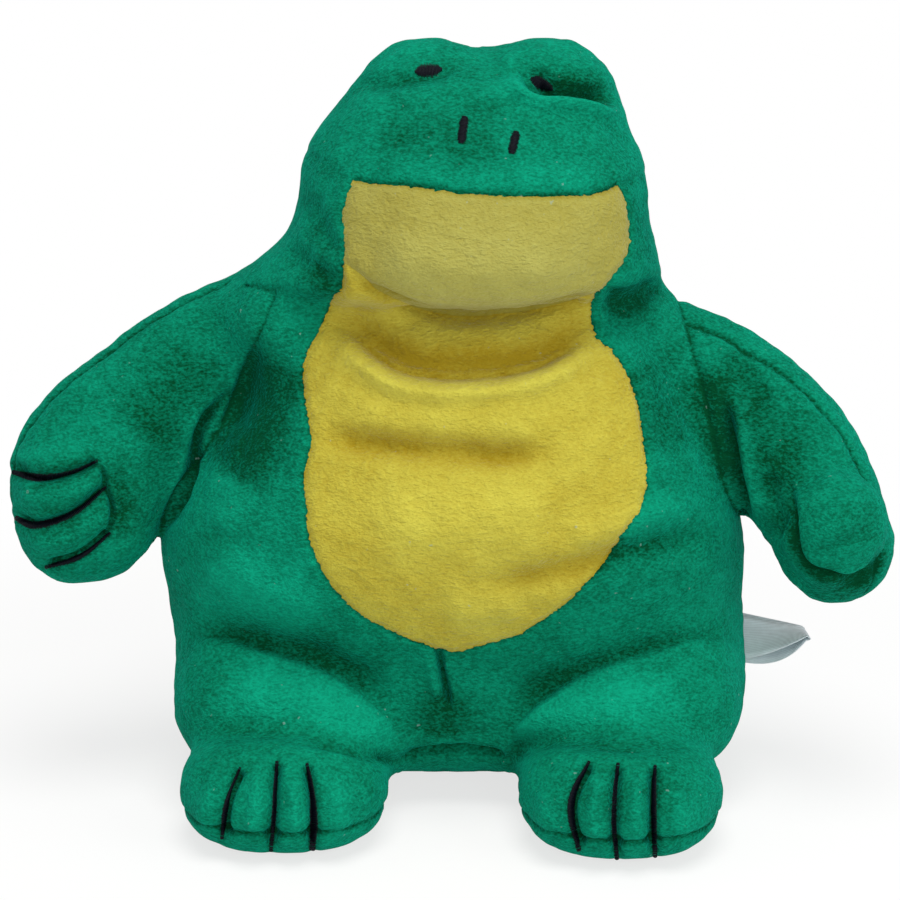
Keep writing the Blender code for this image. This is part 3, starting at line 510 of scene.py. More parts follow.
# Soft folds: the part they press, millimetres out, half width in pixels, route in pixels
FOLDS = (
    ("head", -4.4, 9, ((530, 64), (546, 79), (572, 86), (598, 92), (618, 104))),
    ("head", -1.6, 4, ((519, 62), (527, 80), (540, 90), (562, 92), (590, 97), (616, 108))),
    ("head", 2.2, 7, ((506, 74), (519, 94), (540, 104), (566, 104), (596, 109), (624, 120))),
    ("head", -0.6, 4, ((541, 52), (562, 68), (586, 72), (606, 80))),
    ("head", -1.3, 10, ((352, 92), (392, 82), (430, 75), (458, 62))),
    ("head", 1.0, 9, ((505, 56), (516, 66))),
    ("head", 0.8, 14, ((348, 110), (395, 99), (440, 92), (470, 76))),
    ("head", 0.9, 26, ((487, 80), (490, 104))),
    ("head", 0.8, 16, ((365, 166), (430, 176), (500, 180), (570, 180), (612, 172))),
    ("head", -1.0, 10, ((306, 190), (318, 224), (334, 256))),
    ("head", 1.8, 32, ((372, 252), (440, 268), (520, 270), (592, 254))),
    ("any", -2.6, 7, ((344, 272), (382, 296), (443, 316), (510, 315), (561, 306), (604, 296))),
    ("any", -1.3, 11, ((282, 250), (306, 264), (328, 280), (350, 296))),
    ("any", -2.6, 13, ((600, 297), (628, 303), (650, 294), (662, 278))),
    ("body", -2.6, 12, ((338, 308), (395, 352), (459, 364), (535, 353), (592, 322))),
    ("body", -1.2, 4, ((336, 318), (392, 366), (459, 377), (537, 366), (590, 334))),
    ("body", 2.0, 9, ((330, 338), (388, 384), (459, 394), (540, 382), (598, 348))),
    ("body", 0.8, 18, ((335, 412), (400, 419), (480, 424), (560, 422))),
    ("body", -2.8, 14, ((308, 436), (370, 444), (440, 451), (500, 455), (560, 454))),
    ("body", -2.0, 3.2, ((438, 648), (441, 668), (447, 690), (450, 712))),
    ("body", 0.8, 5, ((428, 656), (432, 678), (438, 702))),
    ("any", -1.8, 4.5, ((396, 764), (420, 754), (455, 750), (490, 753), (510, 762))),
    ("body", 1.7, 38, ((360, 512), (460, 520), (560, 508))),
    ("body", -1.9, 13, ((472, 588), (540, 576), (607, 559), (665, 543), (728, 528))),
    ("body", 1.0, 14, ((565, 540), (622, 521), (705, 497))),
    ("body", 1.0, 20, ((440, 616), (525, 602))),
    ("body", -2.2, 17, ((500, 712), (560, 682), (620, 662), (680, 648), (740, 640))),
    ("body", -2.2, 17, ((182, 634), (260, 646), (330, 664), (396, 704))),
    ("body", 1.4, 22, ((200, 560), (260, 590), (330, 615))),
    ("body", 1.0, 24, ((236, 478), (216, 532))),
    ("body", -2.2, 15, ((252, 335), (238, 385), (226, 432))),
    ("any", -3.0, 6, ((724, 396), (730, 440), (738, 480), (747, 525))),
    ("arms", 1.2, 8, ((738, 408), (744, 448), (753, 490), (764, 520))),
    ("arms", -3.4, 5, ((791, 480), (790, 512), (792, 536), (796, 556), (808, 571), (828, 578), (846, 582),
                       (860, 579), (874, 569), (893, 535))),
    ("arms", 1.4, 26, ((826, 505), (842, 540))),
    ("arms", -1.6, 14, ((766, 470), (774, 510), (782, 545))),
    ("arms", -1.2, 5, ((14, 462), (26, 470))),
    ("arms", 1.1, 9, ((14, 496), (40, 499), (70, 492), (98, 476))),
    ("arms", 1.1, 9, ((24, 543), (52, 544), (80, 533), (108, 512))),
    ("arms", 0.9, 10, ((14, 458), (40, 456), (78, 452))),
    ("arms", -1.9, 3.4, ((97, 461), (104, 474), (106, 487), (112, 502), (114, 518), (110, 533), (104, 546))),
    ("arms", -1.0, 9, ((112, 462), (122, 492), (124, 522), (112, 556))),
    ("any", -2.8, 5, ((236, 386), (212, 412), (200, 432), (194, 456), (188, 480), (172, 512), (156, 538))),
    ("arms", 1.0, 8, ((205, 404), (190, 428), (183, 454), (176, 478), (160, 508))),
    ("arms", -1.6, 15, ((728, 350), (748, 378), (770, 408))),
    ("legs", -1.4, 12, ((196, 744), (240, 728), (285, 730), (335, 735), (368, 745), (400, 760))),
    ("legs", -1.4, 6, ((300, 738), (345, 745), (382, 757), (404, 766))),
    ("legs", -1.6, 11, ((498, 770), (520, 750), (560, 738), (620, 742), (702, 748))),
    ("legs", -1.4, 7, ((496, 750), (530, 737), (575, 727), (622, 728))),
    ("legs", 1.2, 15, ((232, 692), (300, 696), (360, 720), (396, 742))),
    ("legs", 1.2, 15, ((500, 738), (545, 714), (600, 700), (680, 690))),
    ("legs", 1.3, 8, ((257, 772), (254, 806), (252, 836))),
    ("legs", 1.3, 8, ((292, 772), (294, 806), (295, 840))),
    ("legs", 1.0, 9, ((210, 786), (206, 812), (204, 832))),
    ("legs", 1.0, 10, ((334, 782), (340, 812), (340, 838))),
    ("legs", 1.3, 8, ((599, 772), (594, 806), (596, 844))),
    ("legs", 1.3, 8, ((636, 774), (635, 808), (636, 846))),
    ("legs", 1.0, 10, ((548, 786), (545, 812), (554, 838))),
    ("legs", 1.0, 10, ((676, 786), (682, 812), (682, 838))),
)
# Painted shade and light on the pile, darker or lighter without a fold, like the table above
PAINTED_SHADE_AND_LIGHT_STROKES = (
    ("body", -3.8, 32, ((276, 345), (262, 400), (246, 445), (222, 480))),
    ("any", -3.4, 18, ((704, 366), (716, 400), (724, 440), (736, 492))),
    ("body", -1.3, 40, ((640, 350), (668, 400), (680, 460))),
    ("arms", -1.4, 34, ((838, 500), (846, 550))),
    ("arms", -1.3, 44, ((50, 450), (60, 500), (84, 560))),
    ("body", 1.8, 40, ((215, 560), (260, 600), (320, 612))),
    ("head", -0.3, 24, ((306, 180), (314, 225), (326, 262))),
    ("head", -1.2, 20, ((640, 190), (642, 230), (640, 280))),
    ("head", -2.0, 12, ((548, 84), (575, 90), (604, 99))),
    ("head", 0.9, 18, ((370, 62), (400, 48), (450, 46))),
    ("head", 0.9, 16, ((540, 50), (575, 50), (600, 64))),
    ("legs", 2.6, 26, ((215, 682), (290, 694), (368, 722), (402, 745))),
    ("legs", 2.0, 26, ((690, 694), (620, 702), (550, 716), (500, 742))),
    ("legs", 0.2, 30, ((210, 800), (290, 800), (360, 800))),
    ("body", -1.2, 30, ((200, 612), (270, 634), (350, 666))),
    ("legs", -0.8, 30, ((560, 800), (640, 800), (700, 800))),
    ("body", -1.0, 26, ((446, 690), (448, 740))),
    ("head", 0.8, 26, ((372, 262), (440, 284), (520, 286), (592, 266))),
    ("body", -1.6, 24, ((445, 680), (445, 745))),
    ("body", -1.4, 15, ((340, 306), (398, 345), (460, 356), (530, 348), (592, 316))),
    ("arms", -1.8, 34, ((750, 395), (775, 440), (780, 500))),
    ("arms", -1.6, 44, ((220, 350), (170, 400), (130, 440))),
    ("arms", -0.9, 30, ((180, 420), (150, 470), (120, 540))),
    ("arms", -1.6, 12, ((800, 584), (845, 594), (880, 578))),
    ("arms", -2.6, 5, ((790, 480), (790, 530), (800, 566), (830, 579), (858, 581), (880, 565), (893, 535))),
    ("head", -0.3, 26, ((548, 60), (580, 72), (604, 96))),
    ("head", -1.2, 50, ((370, 118), (440, 130), (520, 140))),
    ("head", -0.8, 6, ((303, 150), (322, 165), (350, 182))),
    ("head", -0.8, 6, ((622, 187), (634, 181), (648, 173))),
    ("body", -0.8, 22, ((650, 290), (630, 305), (606, 312))),
    ("any", -1.2, 18, ((300, 268), (318, 284), (322, 306))),
)
TOE_LINES_px = {
    "right": (((240, 768), (230, 791), (225, 812), (222, 838)),
              ((277, 762), (275, 788), (274, 815), (271, 850)),
              ((307, 764), (312, 792), (314, 822), (312, 852))),
    "left": (((589, 762), (575, 789), (571, 815), (579, 850)),
             ((618, 764), (615, 792), (614, 824), (617, 858)),
             ((655, 766), (654, 790), (654, 820), (655, 856))),
}
FINGER_LINES_px = (
    ((13, 472), (32, 477), (50, 477), (75, 471), (97, 461)),
    ((16, 518), (32, 525), (55, 521), (80, 509), (106, 487)),
    ((46, 567), (72, 560), (90, 550), (110, 533)),
)
TOE_GROOVE = (-2.7, 5.0)
FINGER_GROOVE = (-2.6, 5.0)
# Folds up to this half width get smaller triangles this near, both in pixels
FINER = ((9.0, 13.0), (6.0, 7.0))

# Soft folds on the back: millimetres out, half width, route in X and Z, all in millimetres
BACK_FOLDS = (
    (-1.8, 3.0, ((-34, 106), (-15, 102), (4, 101), (24, 102), (42, 105))),
    (-1.2, 3.0, ((-40, 66), (-20, 63), (0, 62), (22, 64), (44, 68))),
    (0.9, 5.0, ((-34, 74), (0, 71), (40, 75))),
    (-1.1, 3.2, ((-52, 34), (-30, 30), (-8, 31))),
    (-1.1, 3.2, ((14, 29), (34, 28), (54, 33))),
    (-1.0, 3.0, ((-22, 90), (4, 86), (30, 89))),
    (-0.8, 3.0, ((-20, 132), (4, 129), (28, 131))),
)
SEAM_DEPTH = 0.75
SEAM_REACH = 0.9
# Seams fade out towards the floor, below this height
SEAM_FLAT_BELOW = 2.5
# Seams that the pile hides: two panels, and the share of the groove that shows
FAINT_SEAMS = (
    ("foot_top_panel", "front_panel", 0.0), ("foot_top_panel", "seat_panel", 0.3),
    ("face_panel", "head_back", 0.3), ("head_back", "front_panel", 0.15), ("head_back", "head_back", 0.7),
    ("arm_front_panel", "front_panel", 0.8), ("arm_back_panel", "front_panel", 0.8),
    ("arm_front_panel", "head_back", 0.15), ("arm_back_panel", "head_back", 0.15),
    ("chin_panel", "tummy_panel", 0.5),
    ("chin_panel", "head_back", 0.6), ("front_panel", "tummy_panel", 0.7),
    ("front_panel_left", "front_panel_right", 0.35),
)
# A seam that the pile hides counts as this much farther away, in millimetres
FAINT_SEAM = 1.5
FAR_FROM_SEAM = 2.6
WRINKLE = 0.12


WAVE_COUNT = 10
# How many waves come where the wavelength gives one, from fewest to most
WAVE_SPREAD = (0.7, 1.4)


def waves(points, wavelength, seed):
    """A smooth random value at each point, about -1 to 1, from a few plane waves."""
    chance = np.random.default_rng(seed)
    turns = chance.normal(size=(WAVE_COUNT, points.shape[1]))
    turns *= (2 * math.pi / wavelength) / np.linalg.norm(turns, axis=1)[:, None]
    turns *= chance.uniform(*WAVE_SPREAD, size=(WAVE_COUNT, 1))
    starts = chance.uniform(0, 2 * math.pi, size=WAVE_COUNT)
    return np.sin(points @ turns.T + starts).sum(1) / math.sqrt(WAVE_COUNT)


STEPS_PER_POINT = 6
# Farther than anything, and its inverse a length next to nothing
FAR = 1e9
# How far from a stroke's line it is worked out, in half widths, and how softly its ends fade
STROKE_REACH = 3.0
STROKE_FADE = 0.22
GROOVE_FADE = 0.05
STROKE_END = -0.02


def to_segment(spots, a, b):
    """Squared distance from many points to a straight piece of line, and how far along it."""
    run = b - a
    share = np.clip((spots - a) @ run / max(run @ run, 1 / FAR), 0, 1)
    off = spots - a - share[:, None] * run
    return (off * off).sum(1), share


def distance_to(spots, route):
    """Distance from many points to a smooth line through a few, and how far along it, 0 to 1."""
    line = resampled(route, STEPS_PER_POINT * len(route)) if len(route) > 2 else np.asarray(route, float)
    best = np.full(len(spots), FAR)
    along = np.zeros(len(spots))
    for index, (a, b) in enumerate(zip(line, line[1:])):
        gap, share = to_segment(spots, a, b)
        nearer = gap < best
        best[nearer] = gap[nearer]
        along[nearer] = index + share[nearer]
    return np.sqrt(best), along / (len(line) - 1)


def stroke(spots, route, half, fade=STROKE_FADE):
    """1 along a line, falling off beside it and towards its two ends."""
    ends, reach = np.asarray(route, float), STROKE_REACH * half
    near = ((spots > ends.min(0) - reach) & (spots < ends.max(0) + reach)).all(1)
    away, along = distance_to(spots[near], route)
    made = np.zeros(len(spots))
    made[near] = (np.exp(-(away / half) ** 2) * smooth_step(STROKE_END, fade, along)
                  * smooth_step(STROKE_END, fade, 1 - along))
    return made


def inside_distance(spots, outline):
    """Distance to an outline, positive inside it."""
    ring = np.asarray(outline, float)
    best = np.full(len(spots), FAR)
    inside = np.zeros(len(spots), bool)
    for a, b in zip(ring, np.roll(ring, -1, axis=0)):
        best = np.minimum(best, to_segment(spots, a, b)[0])
        if a[1] != b[1]:
            level = (a[1] > spots[:, 1]) != (b[1] > spots[:, 1])
            inside ^= level & (spots[:, 0] < (b[0] - a[0]) * (spots[:, 1] - a[1]) / (b[1] - a[1]) + a[0])
    return np.where(inside, 1, -1) * np.sqrt(best)


def above_line(spots, line):
    """How far each point is above a line that runs across the picture."""
    rows = np.asarray(line, float)
    return curve_through(rows, np.clip(spots[:, 0], rows[0, 0], rows[-1, 0]))[0] - spots[:, 1]


def armhole(side, points):
    """Distance outward of the plane of the shoulder seam."""
    (x0, z0), (x1, z1) = ARMHOLES[side]
    run = np.array((x1 - x0, z1 - z0)) / math.hypot(x1 - x0, z1 - z0)
    outward = np.array((-run[1], run[0]))
    outward *= math.copysign(1.0, outward[0] * SIDES[side])
    return (points[:, (0, 2)] - (x0, z0)) @ outward, outward


def arm_share(side, points):
    """Positive where the skin is the arm's, zero on its seam with the body."""
    torso = torso_field(*points.T)
    arm = arm_field(side, *points.T)
    below_head = NECK_SIDE_HEIGHT - points[:, 2]
    return np.minimum(np.minimum(armhole(side, points)[0], torso - arm), below_head)


# Where the arm's seam turns from its middle to its front edge, in shares of its half height
ARM_SEAM_TURN = (-0.2, 0.6)


def arm_seam(side, points):
    """Positive on the front of the arm, zero on the seam that runs round its edge."""
    middles, _, deeps, highs, tall, _ = stations(ARM_ROWS[side])
    near = np.zeros(len(points), int)
    best = np.full(len(points), FAR)
    for index, middle in enumerate(middles):
        gap = ((points - middle) ** 2).sum(1)
        near[gap < best] = index
        best = np.minimum(best, gap)
    off = points - middles[near]
    deep = (off * deeps[near]).sum(1)
    high = (off * highs[near]).sum(1) / tall[near]
    upper = smooth_step(*ARM_SEAM_TURN, high * math.copysign(1.0, highs[0][2]))
    return -deep - ARM_SEAM_FORWARD[side] * upper


def leg_share(side, points):
    """Positive where the skin is the leg's."""
    own_side = SIDES[side] * points[:, 0]
    return np.minimum(torso_field(*points.T) - leg_field(side, *points.T), own_side)


def head_share(points, spots):
    """Positive where the skin is the head's: above the chin's crease in front, a level line behind."""
    front = above_line(spots, CHIN_CREASE_px) * PX
    share = smooth_step(*NECK_FRONT, points[:, 1])
    return front * (1 - share) + (points[:, 2] - NECK_SIDE_HEIGHT) * share


def grooves():
    """The grooves between toes and fingers, like the table of folds."""
    return ([("legs", *TOE_GROOVE, line) for lines in TOE_LINES_px.values() for line in lines]
            + [("arms", *FINGER_GROOVE, line) for line in FINGER_LINES_px])


# How far a normal has to point at the camera, from not at all to fully
FACING_FRONT = (0.02, 0.3)
FACING_ROUND_TIPS = (-0.5, -0.15)
FACING_BACK = (0.1, 0.5)
FACING_FINER = -0.5
# How softly folds end at the edge of the arms, legs and head, in millimetres
EDGE_OF_ARMS = 1.5
EDGE_OF_LEGS = 1.0
EDGE_OF_HEAD = 2.0
# Small wrinkles all over: share of WRINKLE, wavelength, seed of the random waves
WRINKLES = ((1.0, 9.0, 1), (0.7, 4.5, 2))
# The skin stays flat where it rests on the floor, up to this height
FLAT_BELOW = 4.0


def facing_of(normals):
    """How far each normal points at the camera."""
    return -normals[:, 1] * math.cos(LEAN) + normals[:, 2] * math.sin(LEAN)


def finer_at_folds(verts, tris):
    """Smaller triangles where a narrow fold comes."""
    for widest, reach in FINER:
        spots = to_photo(verts)
        near = np.zeros(len(verts), bool)
        seen = facing_of(normals_of(verts, tris)) > FACING_FINER
        for _, _, half, route in FOLDS + tuple(grooves()):
            if half <= widest:
                low, high = np.min(route, axis=0) - 2 * reach, np.max(route, axis=0) + 2 * reach
                close = seen & ((spots > low) & (spots < high)).all(1)
                near[close] |= distance_to(spots[close], route)[0] < reach
        verts, tris = refined(verts, tris, near)
    return verts, tris


def press_folds(verts, normals):
    """Move the skin out and in along its folds, and give the painted shade and light of its pile there."""
    spots = to_photo(verts)
    facing = facing_of(normals)
    front = smooth_step(*FACING_FRONT, facing)
    arms = np.maximum(arm_share("right", verts), arm_share("left", verts))
    legs = np.maximum(leg_share("right", verts), leg_share("left", verts))
    head = head_share(verts, spots)
    on_arms = smooth_step(-EDGE_OF_ARMS, EDGE_OF_ARMS, arms)
    on_legs = smooth_step(-EDGE_OF_LEGS, EDGE_OF_LEGS, legs) * (1 - on_arms)
    on_head = smooth_step(-EDGE_OF_HEAD, EDGE_OF_HEAD, head) * (1 - on_arms)
    masks = {"any": 1.0, "head": on_head, "arms": on_arms, "legs": on_legs,
             "body": (1 - on_arms) * (1 - on_legs) * (1 - on_head)}
    push = np.zeros(len(verts))
    for place, out, half, route in FOLDS:
        push += out * stroke(spots, route, half) * front * masks[place]
    round_tips = smooth_step(*FACING_ROUND_TIPS, facing)
    for place, out, half, route in grooves():
        push += out * stroke(spots, route, half, GROOVE_FADE) * round_tips * masks[place]
    back = smooth_step(*FACING_BACK, normals[:, 1])
    for out, half, route in BACK_FOLDS:
        push += out * stroke(verts[:, (0, 2)], route, half) * back * (1 - on_arms)
    # The folds' depth is painted into the colour too: painted shade in their hollows, painted light on their
    # ridges
    painted_shade_and_light = push.copy()
    # Painted shade and light: these strokes darken or lighten only the pile's colour
    for place, tone, half, route in PAINTED_SHADE_AND_LIGHT_STROKES:
        painted_shade_and_light += tone * stroke(spots, route, half) * front * masks[place]
    push += WRINKLE * sum(share * waves(verts, wave, seed) for share, wave, seed in WRINKLES)
    push *= smooth_step(0.0, FLAT_BELOW, verts[:, 2])
    return verts + normals * push[:, None], painted_shade_and_light


def cut_fields(verts):
    """The fields whose zero lines are the seams, by name."""
    spots = to_photo(verts)
    ragged = sum(waves(spots, wave, RAGGED_SEED + index) for index, wave in enumerate(RAGGED_WAVES))
    ragged *= RAGGED / len(RAGGED_WAVES)
    front = -verts[:, 1] / PX
    fields = {
        "head": head_share(verts, spots),
        "mouth": (above_line(spots, MOUTH_px) + ragged) * PX,
        "chin": np.minimum(inside_distance(spots, CHIN_EDGE_px) + ragged, front) * PX,
        "tummy": np.minimum(inside_distance(spots, TUMMY_EDGE_px) + ragged, front) * PX,
        "crown": CROWN_SEAM - verts[:, 1],
        "side": SIDE_SEAM - verts[:, 1],
        "centre": verts[:, 0] - CENTRE_SEAM,
        "back": verts[:, 0] - BACK_SEAM,
        "head_centre": verts[:, 0] - HEAD_CENTRE,
        "seat": SEAT_SEAM - verts[:, 2],
        "sole": SOLE_SEAM - verts[:, 2],
    }
    for name, field_of in (("arm", arm_share), ("leg", leg_share), ("arm_seam", arm_seam)):
        for side in SIDES:
            fields[f"{name}_{side}"] = field_of(side, verts)
    return fields


def panel_of(at):
    """The name of the panel that each place is on, from the seams' fields there."""
    left = {name: at[name] > 0 for name in at}
    names = np.full(len(at["head"]), "", dtype="<U32")
    torso_front = np.where(left["centre"], "front_panel_left", "front_panel_right")
    torso_back = np.where(left["back"], "back_panel_left", "back_panel_right")
    names[:] = np.where(left["side"], torso_front, torso_back)
    names[left["tummy"] & left["side"]] = "tummy_panel"
    names[left["seat"]] = "seat_panel"
    on_head = left["head"]
    head_back = np.where(left["head_centre"], "head_back_left", "head_back_right")
    names[on_head] = head_back[on_head]
    names[on_head & left["chin"] & ~left["mouth"]] = "chin_panel"
    names[on_head & left["mouth"] & left["crown"]] = "face_panel"
    for side in SIDES:
        arm, leg = left[f"arm_{side}"], left[f"leg_{side}"]
        which = np.where(left[f"arm_seam_{side}"], f"arm_front_panel_{side}", f"arm_back_panel_{side}")
        names[arm] = which[arm]
        which = np.where(left["sole"], f"sole_panel_{side}", f"foot_top_panel_{side}")
        names[leg] = which[leg]
    return names


# Triangles are made smaller this near a seam of two colours, in millimetres
FINE_WITHIN = 1.8


def refined(verts, tris, wanted):
    """Split in two every edge between wanted vertices."""
    edges, which = edges_of(tris)
    split = wanted[edges].all(1)
    middle = np.full(len(edges), -1)
    middle[split] = len(verts) + np.arange(split.sum())
    verts = np.vstack((verts, verts[edges[split]].mean(1)))
    mids = middle[which]
    count = (mids >= 0).sum(1)
    made = [tris[count == 0]]
    full, m = tris[count == 3], mids[count == 3]
    made += [np.stack(corners, 1) for corners in (
        (full[:, 0], m[:, 0], m[:, 2]), (full[:, 1], m[:, 1], m[:, 0]),
        (full[:, 2], m[:, 2], m[:, 1]), (m[:, 0], m[:, 1], m[:, 2]))]
    for turn in range(3):
        a, b, c = (tris[:, (turn + i) % 3] for i in range(3))
        ab, bc = (mids[:, (turn + i) % 3] for i in range(2))
        one = (count == 1) & (ab >= 0)
        made += [np.stack((a, ab, c), 1)[one], np.stack((ab, b, c), 1)[one]]
        two = (count == 2) & (ab >= 0) & (bc >= 0)
        made += [np.stack((ab, b, bc), 1)[two], np.stack((a, ab, bc), 1)[two], np.stack((a, bc, c), 1)[two]]
    return verts, np.concatenate(made)


def cut_panels(verts, tris, painted_shade_and_light):
    """Cut the skin along every seam, and name each triangle's panel."""
    fields = cut_fields(verts)
    near = np.zeros(len(verts), bool)
    for name in ("mouth", "chin", "tummy"):
        near |= np.abs(fields[name]) < FINE_WITHIN
    joined, tris = refined(np.column_stack((verts, painted_shade_and_light)), tris, near)
    verts = joined[:, :3]
    fields = cut_fields(verts)
    table = np.stack([*fields.values(), joined[:, 3]], axis=1)
    for column in range(len(fields)):
        joined = np.hstack((verts, table))
        joined, tris = cut_along(joined, tris, table[:, column])
        verts, table = joined[:, :3], joined[:, 3:]
    middles = table[tris].mean(1)
    names = panel_of({name: middles[:, i] for i, name in enumerate(fields)})
    nearby = np.abs(table[:, :-1]).min(1) < FAR_FROM_SEAM
    return verts, tris, names, table[:, -1], nearby


def seam_strength(first, second):
    """How far a seam between two panels draws the cloth in."""
    strength = np.ones(len(first))
    for one, other, share in FAINT_SEAMS:
        for a, b in ((first, second), (second, first)):
            strength[np.char.startswith(a, one) & np.char.startswith(b, other)] = share
    return strength


def skin_of_frog():
    """The skin with its folds and seams, as vertices, triangles, normals, panel names, seam distance
    and painted shade and light on the pile."""
    verts, quads = surface_of(*frog_values())
    tris = triangles_of(verts, quads)
    verts = smoothed(verts, edges_of(tris)[0])
    verts, tris = finer_at_folds(verts, tris)
    verts, painted_shade_and_light = press_folds(verts, normals_of(verts, tris))
    verts, tris, names, painted_shade_and_light, nearby = cut_panels(verts, tris, painted_shade_and_light)
    labels, owners = np.unique(names, return_inverse=True)
    owners = owners.repeat(3)
    at = tris.ravel()
    lowest = np.full(len(verts), len(labels))
    highest = np.full(len(verts), -1)
    np.minimum.at(lowest, at, owners)
    np.maximum.at(highest, at, owners)
    on_seam = np.flatnonzero(highest > lowest)
    tree = KDTree(len(on_seam))
    for index in on_seam:
        tree.insert(Vector(verts[index]), int(index))
    tree.balance()
    away = np.full(len(verts), FAR_FROM_SEAM)
    strength = np.ones(len(verts))
    strength[on_seam] = seam_strength(labels[lowest[on_seam]], labels[highest[on_seam]])
    for index in np.flatnonzero(nearby):
        _, nearest, away[index] = tree.find(Vector(verts[index]))
        strength[index] = strength[nearest]
    normals = normals_of(verts, tris)
    depth = SEAM_DEPTH * strength * smooth_step(0.0, SEAM_FLAT_BELOW, verts[:, 2])
    verts = verts - normals * (depth * np.exp(-(away / SEAM_REACH) ** 2))[:, None]
    return verts, tris, normals_of(verts, tris), names, away + (1 - strength) * FAINT_SEAM, painted_shade_and_light


def new_material(name):
    made = bpy.data.materials.new(name)
    made.use_nodes = True
    tree = made.node_tree
    return made, tree, next(node for node in tree.nodes if node.type == "BSDF_PRINCIPLED")


def put(tree, node, inputs):
    """Set a node's inputs, each to a number, a colour of three, or another node's output."""
    for name, value in inputs.items():
        socket = node.inputs[name]
        if isinstance(value, bpy.types.NodeSocket):
            tree.links.new(value, socket)
        else:
            socket.default_value = (*value, 1.0) if socket.type == "RGBA" else value
    return node


def add(tree, kind, inputs):
    return put(tree, tree.nodes.new("ShaderNode" + kind), inputs)


def math_node(tree, work, *values):
    node = tree.nodes.new("ShaderNodeMath")
    node.operation = work
    return put(tree, node, dict(enumerate(values))).outputs[0]


def noise_at(tree, place, scale, detail):
    return add(tree, "TexNoise", {
        "Vector": place, "Scale": scale, "Detail": detail, "Roughness": NOISE_ROUGHNESS}).outputs["Fac"]


def mapped(tree, value, low, high, to_low, to_high):
    """A value's range run softly into another one."""
    node = add(tree, "MapRange", {
        "Value": value, "From Min": low, "From Max": high, "To Min": to_low, "To Max": to_high})
    node.interpolation_type = "SMOOTHSTEP"
    return node.outputs["Result"]


def mixed(tree, share, first, second):
    node = tree.nodes.new("ShaderNodeMix")
    node.data_type = "RGBA"
    return put(tree, node, {"A": first, "B": second, "Factor": share}).outputs["Result"]


def brightened(tree, colour, share):
    node = tree.nodes.new("ShaderNodeVectorMath")
    node.operation = "SCALE"
    return put(tree, node, {0: colour, "Scale": share}).outputs["Vector"]


def bumped(tree, height, strength, depth):
    """A normal with bumps on it, their depth in millimetres."""
    node = add(tree, "Bump", {"Height": height, "Strength": strength, "Distance": depth * MM})
    return node.outputs["Normal"]


def attribute(tree, name, output):
    node = tree.nodes.new("ShaderNodeAttribute")
    node.attribute_name = name
    return node.outputs[output]


def object_place(tree):
    return tree.nodes.new("ShaderNodeTexCoord").outputs["Object"]


def seen_by_camera(tree):
    """1 for a ray from the camera, straight or by way of a mirror or glass, else 0."""
    rays = tree.nodes.new("ShaderNodeLightPath").outputs
    seen = math_node(tree, "MAXIMUM", rays["Is Camera Ray"], rays["Is Glossy Ray"])
    return math_node(tree, "MAXIMUM", seen, rays["Is Transmission Ray"])


# Noise: scale for places in millimetres, detail
NOISE_ROUGHNESS = 0.6
PILE_NOISE = (1.7, 2.5)
TUFT_NOISE = (0.6, 2.0)
BRUSHED_NOISE = (0.11, 2.0)
LINT_NOISE = (0.7, 1.5)
# The pile lies combed: its noise is stretched and turned
COMB_SCALE = (0.75, 0.9, 1.25)
COMB_TURN = (0.0, 0.3, 0.0)
# Ranges: what comes in, from and to, and the tone it adds, from and to
PILE_RANGE = (0.3, 0.72)
SOFT_RANGE = (0.3, 0.7)
PILE_TONE = 0.20
PILE_TONE_UP = 1.2
SOFT_TONE = 0.08
# Painted shade along the seams: the pile darker within 1.2 mm of a seam
SEAM_TONES = (0.0, 1.2, -0.44, 0.0)
# Painted shade in hollows and painted light on ridges and strokes, from the skin's fold and stroke values
PAINTED_SHADE_AND_LIGHT_TONES = (-4.0, 3.0, -0.5, 0.36)
MIDDLE_TONE = 0.49
LINT_TONES = (0.74, 0.8, 0.0, 0.4)
VELOUR_SURFACE = {"Roughness": 0.95, "Specular IOR Level": 0.04, "Sheen Weight": 0.35,
                  "Sheen Roughness": 0.4}
# Bumps: strength, depth in millimetres
PILE_BUMPS = (0.9, 0.55)
TUFT_BUMP_SHARE = 1.4


def velour(name, colour, deep, sheen, depth):
    """Short-pile velour: mottled pile, painted shade along its seams, painted shade and light from its folds
    and strokes, pale at grazing angles.
    """
    made, tree, shader = new_material(name)
    place = attribute(tree, "rest", "Vector")
    combing = add(tree, "Mapping", {"Vector": place, "Scale": COMB_SCALE, "Rotation": COMB_TURN})
    combed = combing.outputs["Vector"]
    pile = noise_at(tree, combed, *PILE_NOISE)
    tufts = noise_at(tree, combed, *TUFT_NOISE)
    total = mapped(tree, pile, *PILE_RANGE, -PILE_TONE * depth, PILE_TONE_UP * PILE_TONE * depth)
    for value, tones in (
            (tufts, (*SOFT_RANGE, -SOFT_TONE * depth, SOFT_TONE * depth)),
            (noise_at(tree, place, *BRUSHED_NOISE), (*SOFT_RANGE, -SOFT_TONE, SOFT_TONE)),
            (attribute(tree, "seam", "Fac"), SEAM_TONES), (attribute(tree, "painted_shade_and_light", "Fac"), PAINTED_SHADE_AND_LIGHT_TONES)):
        total = math_node(tree, "ADD", total, mapped(tree, value, *tones))
    dyed = mixed(tree, math_node(tree, "ADD", total, MIDDLE_TONE), deep, colour)
    lint = mapped(tree, noise_at(tree, place, *LINT_NOISE), *LINT_TONES)
    height = math_node(tree, "MULTIPLY_ADD", tufts, TUFT_BUMP_SHARE, pile)
    put(tree, shader, {**VELOUR_SURFACE, "Sheen Tint": sheen, "Base Color": mixed(tree, lint, dyed, LINT),
                       "Normal": bumped(tree, height, *PILE_BUMPS)})
    return made


